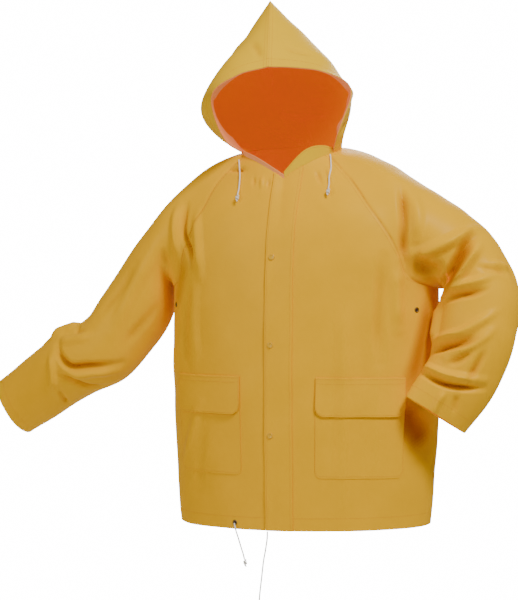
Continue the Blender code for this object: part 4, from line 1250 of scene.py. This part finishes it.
def patch(side, first, low, top, corner, columns, rows):
    """A patch's distances and heights: a rectangle whose lower corners are rounded."""
    share = 0.5 - 0.5 * np.cos(np.linspace(0, math.pi, columns + 1))
    off = np.minimum(share, 1 - share) * FLAP_WIDTH
    raised = corner - np.sqrt(np.maximum(corner**2 - np.maximum(corner - off, 0) ** 2, 0))
    down = np.linspace(1, 0, rows + 1)[:, None]
    height = top - down * (top - low - raised)
    distance = np.broadcast_to(first + share * FLAP_WIDTH, height.shape)
    points, out = plain_front(side, distance, height)
    return points, out, down


print("flap in mm:", round(1000 * FLAP_WIDTH), "x", round(1000 * (FLAP_TOP_Z - FLAP_LOW_Z)))

# %% [markdown]
# ## Pockets and flaps
#
# A patch pocket of thin cloth is sewn on round its sides and closed by a flap of two layers. The
# flap is only sewn at its top, so its free edge stands off a little and waves.

# %% Pockets and flaps
POCKET_CELLS = (48, 44)  # across and down
FLAP_CELLS = (56, 26)
FLAP_OFF = 0.0016  # how far the flap stands off the pocket at its seam
FLAP_LEAN = 0.0010
FLAP_SPRING = 0.0011
FLAP_WAVE = 0.0007
stitch_lines = []
for side, name, first in ((1, "left", FLAP_IN_LEFT), (-1, "right", FLAP_IN_RIGHT)):
    front = tree_of(cloth, ["front_" + name])
    points, out, down = patch(side, first, POCKET_LOW_Z, POCKET_TOP_Z, POCKET_CORNER, *POCKET_CELLS)
    pocket = laid(points, out, GAP + POCKET_CLOTH, front)
    thing = wall("pocket_" + name, pocket, out, [OUTSIDE], side, thick=POCKET_CLOTH)
    made["pocket_" + name] = finished(thing, "yellow_pocket", "pocket_" + name)
    stitch_lines += [(pocket[1:, column], out[1:, column]) for column in (1, -2)]
    stitch_lines += [(pocket[1, 1:-1], out[1, 1:-1])]

    points, out, down = patch(side, first, FLAP_LOW_Z, FLAP_TOP_Z, FLAP_CORNER, *FLAP_CELLS)
    share = np.linspace(0, 1, FLAP_CELLS[0] + 1)[None]
    free = FLAP_SPRING * ease(down) + FLAP_WAVE * np.sin(9 * share + side) * down**2
    lift = 2 * GAP + POCKET_CLOTH + FLAP_OFF + free + FLAP_LEAN * down
    flap = laid(points, out, lift, front)
    thing = wall("flap_" + name, flap, out, [OUTSIDE], side, thick=FLAP_CLOTH)
    made["flap_" + name] = finished(thing, "yellow_flap", "flap_" + name)
    stitch_lines += [(flap[row, 1:-1], out[row, 1:-1]) for row in (1, -2, -5)]
    stitch_lines += [(flap[1:-1, column], out[1:-1, column]) for column in (2, -3)]
print("stitch lines so far:", len(stitch_lines))

# %% [markdown]
# ## Placket
#
# The placket hides the studs' backs: a doubled strip over the meeting of the fronts, sewn at the
# wearer's left and free at the right, where it lifts a little. It is the same strip of both
# fronts' points, raised by its own thickness.

# %% Placket
PLACKET_CLOTH = 0.0021  # two layers
PLACKET_SPRING = 0.0009  # how far its free edge lifts
left, right = cloth["front_left"], cloth["front_right"]
count = PLACKET_COLUMNS
strip = np.concatenate([right[:, count:0:-1], left[:, : count + 1]], 1)
left_way, right_way = ways["front_left"], ways["front_right"]
strip_way = np.concatenate([right_way[:, count:0:-1], left_way[:, : count + 1]], 1)
share = np.linspace(0, 1, 2 * count + 1)[None, :, None]
along = np.arange(len(strip))[:, None, None]
lift = PLACKET_SPRING * (1 - ease(share / 0.4)) * (1 + 0.5 * np.sin(along / 7.0))
lift = GAP + PLACKET_CLOTH + lift
placket = strip + strip_way * lift
thing = wall("placket", placket, strip_way, [OUTSIDE], 1, thick=PLACKET_CLOTH)
made["placket"] = finished(thing, "yellow_placket", "placket")
stitch_lines += [(placket[1:-1, column], strip_way[1:-1, column]) for column in (-2, 1)]
print("stitch lines so far:", len(stitch_lines))

# %% [markdown]
# ## Casing of the hood cord
#
# The hood's edge is folded in and stitched, which makes a channel for the cord. Its uncoated side
# faces us there, painted a pinkish peach beside the deep orange of the inside: painted light on the
# lit edge. A second thin wall on the hood's first columns is enough, since only that face shows.

# %% Casings
CASING_STANDS = {"left": 0.007, "right": 0.015}  # the cord draws the channel inwards
for name in ("left", "right"):
    band = cloth["hood_" + name][:, : BAND_COLUMNS + 1]
    out = ways["hood_" + name][:, : BAND_COLUMNS + 1]
    share = np.linspace(0, 1, BAND_COLUMNS + 1)[None, :, None]
    foot = ease(np.arange(len(band)) / 12.0)[:, None, None]
    inside = band - out * (CLOTH + GAP + CASING_STANDS[name] * share**1.3 * foot)
    thing = wall("casing_" + name, inside, out, [PEACH_PAINTED_LIGHT], TURN["hood_" + name])
    made["casing_" + name] = finished(thing, "peach_casing", "casing_" + name)
    print("casing_" + name, "faces:", len(thing.data.polygons))

# %% [markdown]
# ## Stitches
#
# The seams are lapped and sewn twice. One Geometry Nodes tree walks along any line and sets a
# short thread bead every few millimetres, which would be thousands of pieces by hand. Its sizes
# are inputs, and it ends in real geometry, because instances are lost on export.

# %% Stitches by Geometry Nodes
def stitch_tree():
    tree = bpy.data.node_groups.new("stitches", "GeometryNodeTree")
    socket = tree.interface.new_socket
    socket("Geometry", in_out="INPUT", socket_type="NodeSocketGeometry")
    sizes = {}
    for label in ("Pitch", "Length", "Thickness"):
        sizes[label] = socket(label, in_out="INPUT", socket_type="NodeSocketFloat").identifier
    socket("Geometry", in_out="OUTPUT", socket_type="NodeSocketGeometry")
    given, result = add_node(tree, "NodeGroupInput"), add_node(tree, "NodeGroupOutput")
    to_curve = add_node(tree, "GeometryNodeMeshToCurve")
    spaced = add_node(tree, "GeometryNodeResampleCurve", mode="LENGTH")
    along = add_node(tree, "GeometryNodeInputTangent")
    aligned = add_node(tree, "FunctionNodeAlignRotationToVector", axis="Z")
    bead = add_node(tree, "GeometryNodeMeshUVSphere", {"Segments": 6, "Rings": 4, "Radius": 0.5})
    shape = add_node(tree, "ShaderNodeCombineXYZ")
    place = add_node(tree, "GeometryNodeInstanceOnPoints")
    real = add_node(tree, "GeometryNodeRealizeInstances")
    coloured = add_node(tree, "GeometryNodeSetMaterial", {"Material": THREAD})
    wire(
        tree,
        (given, "Geometry", to_curve, "Mesh"),
        (to_curve, "Curve", spaced, "Curve"),
        (given, "Pitch", spaced, "Length"),
        (along, "Tangent", aligned, "Vector"),
        (given, "Thickness", shape, "X"),
        (given, "Thickness", shape, "Y"),
        (given, "Length", shape, "Z"),
        (spaced, "Curve", place, "Points"),
        (bead, "Mesh", place, "Instance"),
        (aligned, "Rotation", place, "Rotation"),
        (shape, "Vector", place, "Scale"),
        (place, "Instances", real, "Geometry"),
        (real, "Geometry", coloured, "Geometry"),
        (coloured, "Geometry", result, "Geometry"),
    )
    return tree, sizes


STITCHES, STITCH_SIZES = stitch_tree()
print("nodes in the stitch tree:", len(STITCHES.nodes))

# %% [markdown]
# ## Sewing a set of lines
#
# The lines become a mesh of edges with the tree on it. Its sizes are set by the sockets' own
# identifiers, before it is evaluated. The result is kept as a plain mesh and the walker goes.

# %% Sew along lines
STITCH = {"Pitch": 0.0034, "Length": 0.0027, "Thickness": 0.0007}
STITCH_OFF = 0.0001  # a thread lies just on the cloth


def sew(name, lines, slot):
    points, edges = [], []
    for line, out in lines:
        start = len(points)
        points += [tuple(place) for place in line + out * STITCH_OFF]
        edges += [(start + k, start + k + 1) for k in range(len(line) - 1)]
    mesh = bpy.data.meshes.new(name + " lines")
    mesh.from_pydata(points, edges, [])
    walker = bpy.data.objects.new(name + " lines", mesh)
    bpy.context.scene.collection.objects.link(walker)
    modifier = walker.modifiers.new("stitches", "NODES")
    modifier.node_group = STITCHES
    for label, value in STITCH.items():
        modifier[STITCH_SIZES[label]] = value
    ready = walker.evaluated_get(bpy.context.evaluated_depsgraph_get())
    sewn = bpy.data.meshes.new_from_object(ready)
    sewn.name = name
    bpy.data.objects.remove(walker)
    sewn.polygons.foreach_set("use_smooth", [True] * len(sewn.polygons))
    thing = bpy.data.objects.new(name, sewn)
    bpy.context.scene.collection.objects.link(thing)
    print(name, "faces:", len(sewn.polygons))
    return finished(thing, slot)


def inset(grid, out, distance, axis=1, start=0):
    """The line that runs a distance inside one edge of a grid, with its directions."""
    if axis == 0:
        grid, out = grid.transpose(1, 0, 2), out.transpose(1, 0, 2)
    if start == -1:
        grid, out = grid[:, ::-1], out[:, ::-1]
    line, ways_here = [], []
    for row, directions_here in zip(grid, out):
        far = np.concatenate([[0], np.cumsum(np.linalg.norm(np.diff(row, axis=0), axis=1))])
        line.append([np.interp(distance, far, row[:, k]) for k in range(3)])
        ways_here.append([np.interp(distance, far, directions_here[:, k]) for k in range(3)])
    return np.array(line), unit(ways_here)


print("a hem's stitch line lies in mm from its edge:", round(1000 * HEM_TURN))

# %% [markdown]
# ## Where the stitches run
#
# Each raglan seam has two lines close to its edge, each hem one where its fold ends, and the
# hood two along its ridge. The trims' lines were collected while they were laid on.

# %% Seams, hems and trims
RAGLAN_STITCHES = (0.0015, 0.0075)
RIDGE_STITCHES = (0.0020, 0.0080)
NECKBAND_STITCH = 0.0025
below = len(HEIGHTS) - 1
raglan, hems, hood_lines = [], [], []
for name in ("front_left", "front_right", "back"):
    grid, out = cloth[name], ways[name]
    hems.append(inset(grid, out, HEM_TURN, axis=0))
    for distance in RAGLAN_STITCHES:
        for edge in ((0, -1) if name == "back" else (-1,)):
            line, out_here = inset(grid[below + 2 :], out[below + 2 :], distance, start=edge)
            raglan.append((line, out_here))
for name in ("left", "right"):
    grid, out = cloth["sleeve_" + name], ways["sleeve_" + name]
    closed = np.concatenate([grid, grid[:, :1]], 1), np.concatenate([out, out[:, :1]], 1)
    hems.append(inset(*closed, HEM_TURN, axis=0, start=-1))
    grid, out = cloth["hood_" + name], ways["hood_" + name]
    hood_lines.append(inset(grid[1:], out[1:], HEM_TURN))
    for distance in RIDGE_STITCHES:
        line, out_here = inset(grid[:, :-8], out[:, :-8], distance, axis=0, start=-1)
        hood_lines.append((line, out_here))
    grid, out = cloth["neckband_" + name], ways["neckband_" + name]
    hood_lines.append(inset(grid, out, NECKBAND_STITCH, axis=0, start=-1))
sew("stitches_raglan", raglan, "yellow_sleeve")
sew("stitches_hems", hems, "yellow_front")
sew("stitches_hood", hood_lines, "yellow_hood")
sew("stitches_trims", stitch_lines, "yellow_flap")

# %% [markdown]
# ## Studs and eyelets
#
# The press studs are lacquered caps with a dished middle. The eyelets are small rings, two under
# the arms to let air through and one near the hem for its cord. Both are turned on a lathe in
# effect: a profile of a few radii and heights, spun about the cloth's own direction.

# %% Turned trims
TURNED_SIDES = 40
VIEW_FROM = -0.6  # well in front of the jacket


def seen(tree, sideways, height):
    """The place that shows at a position seen from the front, and its direction towards us."""
    place, normal, _, _ = tree.ray_cast(Vector((sideways, VIEW_FROM, height)), Vector((0, 1, 0)))
    place, normal = np.array(place), np.array(normal)
    return place, normal if normal[1] < 0 else -normal


def turned(name, place, normal, profile, finishes, dark_from=None):
    """A round piece about a normal, from (radius in mm, height in mm) pairs, closed on the axis."""
    across = unit(np.cross((0.0, 0.0, 1.0), normal))
    upward = np.cross(normal, across)
    turns = 2 * math.pi * np.arange(TURNED_SIDES) / TURNED_SIDES
    circle = np.cos(turns)[:, None] * across + np.sin(turns)[:, None] * upward
    points = [place + profile[0][1] / 1000 * normal]
    for radius, height in profile[1:-1]:
        points += list(place + height / 1000 * normal + radius / 1000 * circle)
    points.append(place + profile[-1][1] / 1000 * normal)
    rings = len(profile) - 2
    faces = [(0, 1 + (k + 1) % TURNED_SIDES, 1 + k) for k in range(TURNED_SIDES)]
    faces += cell_faces(rings, TURNED_SIDES, True, False, 1).tolist()
    last, tip = 1 + (rings - 1) * TURNED_SIDES, len(points) - 1
    faces += [(last + k, last + (k + 1) % TURNED_SIDES, tip) for k in range(TURNED_SIDES)]
    dark = len(faces) if dark_from is None else TURNED_SIDES + dark_from * TURNED_SIDES
    kinds = [0 if number < dark else 1 for number in range(len(faces))]
    return add_piece(name, points, faces, finishes, kinds)


STUD_PROFILE = [(0, -0.4), (6.0, -0.4), (6.2, 0.4), (6.1, 1.2), (5.6, 1.8), (4.9, 2.05), (4.2, 2.05),
                (3.5, 1.75), (3.0, 1.55), (0, 1.5)]
EYELET_PROFILE = [(0, -0.5), (5.3, -0.5), (5.5, 0.1), (5.2, 0.7), (4.5, 1.1), (3.6, 1.05), (2.9, 0.7),
                  (2.5, 0.2), (0, 0.15)]
print("stud cap in mm across:", 2 * max(radius for radius, _ in STUD_PROFILE))

# %% [markdown]
# ## Where the studs and eyelets sit
#
# A ray from the front finds the cloth at each place, so a stud sits on the placket and an eyelet
# in the panel whatever the folds do there.

# %% Set the studs and eyelets
SNAP_HEIGHTS = (-0.223, -0.398, -0.578)
SNAP_FROM_EDGE = 0.012
EYELETS = {"vent_left": (0.2604, -0.328), "vent_right": (-0.2604, -0.318), "hem_eyelet": (-0.097, -0.757)}
placket_tree = BVHTree.FromPolygons(
    placket.reshape(-1, 3).tolist(), cell_faces(*placket.shape[:2], False, False).tolist()
)

for number, height in enumerate(SNAP_HEIGHTS, 1):
    place, normal = seen(placket_tree, SNAP_FROM_EDGE - PLACKET_FREE, height)
    thing = turned(f"snap_{number}", place, normal, STUD_PROFILE, [STUD])
    finished(thing, "yellow_snap", f"snap_{number}")
for name, (sideways, height) in EYELETS.items():
    place, normal = seen(everything, sideways, height)
    thing = turned(name, place, normal, EYELET_PROFILE, [BRASS, HOLE], dark_from=6)
    finished(thing, "dark_eyelet", name)
hem_place = place  # the last eyelet is the one at the hem
print("hem eyelet at", [round(float(value), 3) for value in hem_place])

# %% [markdown]
# ## Cords
#
# Four white drawcord ends show: two at the neck from the hood's channel and two at the hem. Each
# is a braid of 3 mm that hangs limp and is stopped by a tight knot. A cord is a curve with a round
# bevel, since its length and bends can then be measured along it.

# %% Braided cord finish
def braid():
    values = {"Base Color": (0.86, 0.85, 0.83, 1.0), "Roughness": 0.75, "Sheen Weight": 0.3}
    material, tree, shader = fresh("white braid", values)
    place = add_node(tree, "ShaderNodeTexCoord")
    both = add_node(tree, "ShaderNodeMath", operation="MAXIMUM")
    for number, slant in enumerate((0.7, -0.7)):
        turn = add_node(tree, "ShaderNodeMapping", {"Rotation": (0.0, slant, 0.0)})
        wave = add_node(tree, "ShaderNodeTexWave", {"Scale": 260.0}, bands_direction="Z")
        wire(tree, (place, "Object", turn, "Vector"), (turn, "Vector", wave, "Vector"),
             (wave, "Fac", both, number))
    bump = add_node(tree, "ShaderNodeBump", {"Strength": 0.5, "Distance": 0.0003})
    wire(tree, (both, "Value", bump, "Height"), (bump, "Normal", shader, "Normal"))
    return material


BRAID = braid()
print("cord finish:", BRAID.name)

# %% [markdown]
# ## Knots
#
# An overhand knot stops each cord. It could be a bead, but a real knot shows the cord winding
# round itself, so the same round section is led along a small helix that widens and closes.

# %% A knot
CORD_DIAMETER = 0.003
KNOT_RADIUS = 0.0048
KNOT_LENGTH = 0.016
KNOT_SIDES = 10
KNOT_POINTS = 76
KNOT_TURNS = 2.6
KNOT_REACH = 0.0026


def add_knot(name, centre, way):
    """An overhand knot: the cord wound round itself, wider above than below, with a short tail."""
    share = np.linspace(0, 1, KNOT_POINTS)
    turns = 2 * math.pi * KNOT_TURNS * ease((share - 0.10) / 0.72)
    reach = KNOT_REACH * ease(share / 0.16) * ease((0.88 - share) / 0.22)
    height = (0.5 - share) * KNOT_LENGTH
    across = unit(np.cross((0.0, 1.0, 0.0), way))
    ahead = np.cross(way, across)
    middle = centre + height[:, None] * way
    middle = middle + (reach * np.cos(turns))[:, None] * across + (reach * np.sin(turns))[:, None] * ahead
    tangent = unit(np.gradient(middle, axis=0))
    first = unit(np.cross(tangent, way + 0.001 * across))
    second = np.cross(tangent, first)
    round_turns = 2 * math.pi * np.arange(KNOT_SIDES) / KNOT_SIDES
    radius = 0.5 * CORD_DIAMETER * np.where(share < 0.9, 0.93, 1.0)[:, None, None]
    circle = np.cos(round_turns)[None, :, None] * first[:, None]
    circle = circle + np.sin(round_turns)[None, :, None] * second[:, None]
    points = (middle[:, None] + radius * circle).reshape(-1, 3).tolist()
    faces = cell_faces(len(share), KNOT_SIDES, True, False).tolist()
    top, tail = len(points), len(points) + 1
    points += [tuple(middle[0]), tuple(middle[-1])]
    last = (len(share) - 1) * KNOT_SIDES
    faces += [(top, (k + 1) % KNOT_SIDES, k) for k in range(KNOT_SIDES)]
    faces += [(tail, last + k, last + (k + 1) % KNOT_SIDES) for k in range(KNOT_SIDES)]
    thing = add_piece(name, points, faces, [BRAID])
    work = bmesh.new()
    work.from_mesh(thing.data)
    bmesh.ops.recalc_face_normals(work, faces=work.faces)
    work.to_mesh(thing.data)
    work.free()
    return finished(thing, "white_cord", name)


print("knot in mm:", 1000 * KNOT_LENGTH, "long")

# %% [markdown]
# ## A cord
#
# Two cords are told by what shows from the front, two by offsets from where they leave the hem.
# A smooth line through the places is cut into short pieces.

# %% A cord
CORD_STEP = 0.004
CORDS = {
    # seen from the front: sideways, height; the last place is the knot's middle
    "hood_cord_right": [(-0.1170, -0.0200), (-0.1090, -0.0380), (-0.1037, -0.0522),
                        (-0.1010, -0.0714), (-0.1000, -0.0850), (-0.0977, -0.1041)],
    "hood_cord_left": [(0.0770, -0.0140), (0.0800, -0.0260), (0.0850, -0.0450),
                       (0.0880, -0.0640), (0.0892, -0.0780), (0.0907, -0.0960)],
    # offsets from the place where it leaves the hem
    "hem_cord_right": [(0.000, -0.0040, -0.0010), (0.004, -0.0070, -0.0120), (0.010, -0.0075, -0.0290),
                       (0.016, -0.0070, -0.0480), (0.022, -0.0070, -0.0660), (0.025, -0.0070, -0.0790)],
    "hem_cord_left": [(0.000, 0.0000, -0.0025), (0.000, 0.0000, -0.0120), (-0.003, 0.0000, -0.0350),
                      (-0.008, 0.0000, -0.0620), (-0.012, 0.0000, -0.0950), (-0.016, 0.0000, -0.1280),
                      (-0.018, 0.0000, -0.1480)],
}
HEM_CORD_AT = (-0.027, -0.1420, -0.7690)  # where the left one leaves the hem


def add_cord(name, points):
    points = np.array(points)
    far = np.concatenate([[0], np.cumsum(np.linalg.norm(np.diff(points, axis=0), axis=1))])
    count = max(int(far[-1] / CORD_STEP), 15)
    line = smooth(far, points, np.linspace(0, far[-1], count + 1))
    curve = bpy.data.curves.new(name, "CURVE")
    curve.dimensions = "3D"
    curve.bevel_depth = 0.5 * CORD_DIAMETER
    curve.bevel_resolution = 4
    curve.use_fill_caps = True
    spline = curve.splines.new("POLY")
    spline.points.add(count)
    for point, place in zip(spline.points, line):
        point.co = (*place, 1.0)
    spline.use_smooth = True
    curve.materials.append(BRAID)
    thing = bpy.data.objects.new(name, curve)
    bpy.context.scene.collection.objects.link(thing)
    return finished(thing, "white_cord", name)


print("cords:", ", ".join(CORDS))

# %% [markdown]
# ## Hanging the cords
#
# The hood's cords lie on the chest, so each of their places is found on the cloth and raised by
# half a cord. The hem's cords hang free below it. Each ends inside its own knot.

# %% Hang the cords
CORD_OFF = 0.0012  # what a cord's slack holds it off the cloth
KNOT_OFF = 0.0015
KNOT_LEAN = 0.0030
for name, route in CORDS.items():
    if name.startswith("hood"):
        points = []
        for sideways, height in route:
            place, normal = seen(everything, sideways, height)
            is_knot = len(points) == len(route) - 1
            away = KNOT_RADIUS + KNOT_OFF if is_knot else 0.5 * CORD_DIAMETER + CORD_OFF
            points.append(place + normal * away)
        centre = points.pop()
        way = unit(points[-1] + normal * KNOT_LEAN - centre)
    else:
        start = np.array(HEM_CORD_AT) if name.endswith("left") else hem_place
        points = [start + np.array(offset) for offset in route]
        centre = points.pop()
        way = unit(points[-1] - centre)
    points.append(centre + way * (0.5 * KNOT_LENGTH + GAP))
    knot = add_knot(name + "_knot", centre, way)
    add_cord(name, points)

# %% [markdown]
# ## The cut of each panel
#
# A pattern piece is flat before it is sewn. Its width, length and area are measured on the panel's
# own rows and columns, so a builder of another size can compare them with a real pattern.

for name, grid in cloth.items():
    wants_sheet(made[name], grid, wrap=name.startswith("sleeve"))

# %% [markdown]
# ## Light and floor
#
# A strong light stands high at the jacket's left, a wide weaker one at its right and another
# behind it. The surround looks white to the camera and gives only a little warm light, because a
# bright white all round would wash the yellow out.

# %% White surround
LIGHT_GIVEN = 0.26
BACKDROP_WHITE = 16.0
WARM = (1.0, 0.93, 0.80, 1.0)  # light that has met the jacket and the floor
WHITE = (1.0, 1.0, 1.0, 1.0)
world = bpy.data.worlds.new("white studio")
world.use_nodes = True
surround = world.node_tree
backdrop = surround.nodes["Background"]
looked_at = add_node(surround, "ShaderNodeLightPath")
brightness = add_node(surround, "ShaderNodeMapRange", {"To Min": LIGHT_GIVEN, "To Max": BACKDROP_WHITE})
tint = add_node(surround, "ShaderNodeMix", {"A": WARM, "B": WHITE}, data_type="RGBA")
wire(
    surround,
    (looked_at, "Is Camera Ray", brightness, "Value"),
    (looked_at, "Is Camera Ray", tint, "Factor"),
    (tint, "Result", backdrop, "Color"),
    (brightness, "Result", backdrop, "Strength"),
)
bpy.context.scene.world = world
print("surround:", world.name)

# %% Lights and floor
LIT_PLACE = Vector((-0.05, 0.0, -0.35))
LIGHTS = [
    # name, place, power in watts, size in metres, colour
    ("key", (2.0, -1.7, 2.3), 108.0, 0.8, (1.0, 1.0, 0.92)),
    ("fill", (-2.2, -2.9, 0.4), 37.0, 1.8, (1.0, 0.93, 0.78)),
    ("back", (-0.6, 3.2, 1.2), 60.0, 2.0, (1.0, 0.97, 0.88)),
]
FLOOR_REACH = 1.9
FLOOR_Z = -1.70


def soft_light(name, place, power, size, colour):
    data = bpy.data.lights.new(name, "AREA")
    data.energy = power
    data.size = size
    data.color = colour
    thing = bpy.data.objects.new(name, data)
    bpy.context.scene.collection.objects.link(thing)
    thing.location = place
    aim = LIT_PLACE - Vector(place)
    thing.rotation_euler = aim.to_track_quat("-Z", "Y").to_euler()
    return thing


for light in LIGHTS:
    soft_light(*light)
floor_mesh = bpy.data.meshes.new("floor")
corners = [(x * FLOOR_REACH, y * FLOOR_REACH, FLOOR_Z) for x, y in ((-1, -1), (1, -1), (1, 1), (-1, 1))]
floor_mesh.from_pydata(corners, [], [(0, 1, 2, 3)])
floor_mesh.materials.append(simple("pale floor", (0.9, 0.9, 0.9), 0.8))
floor = bpy.data.objects.new("floor", floor_mesh)
bpy.context.scene.collection.objects.link(floor)
print("lights:", len(bpy.data.lights))
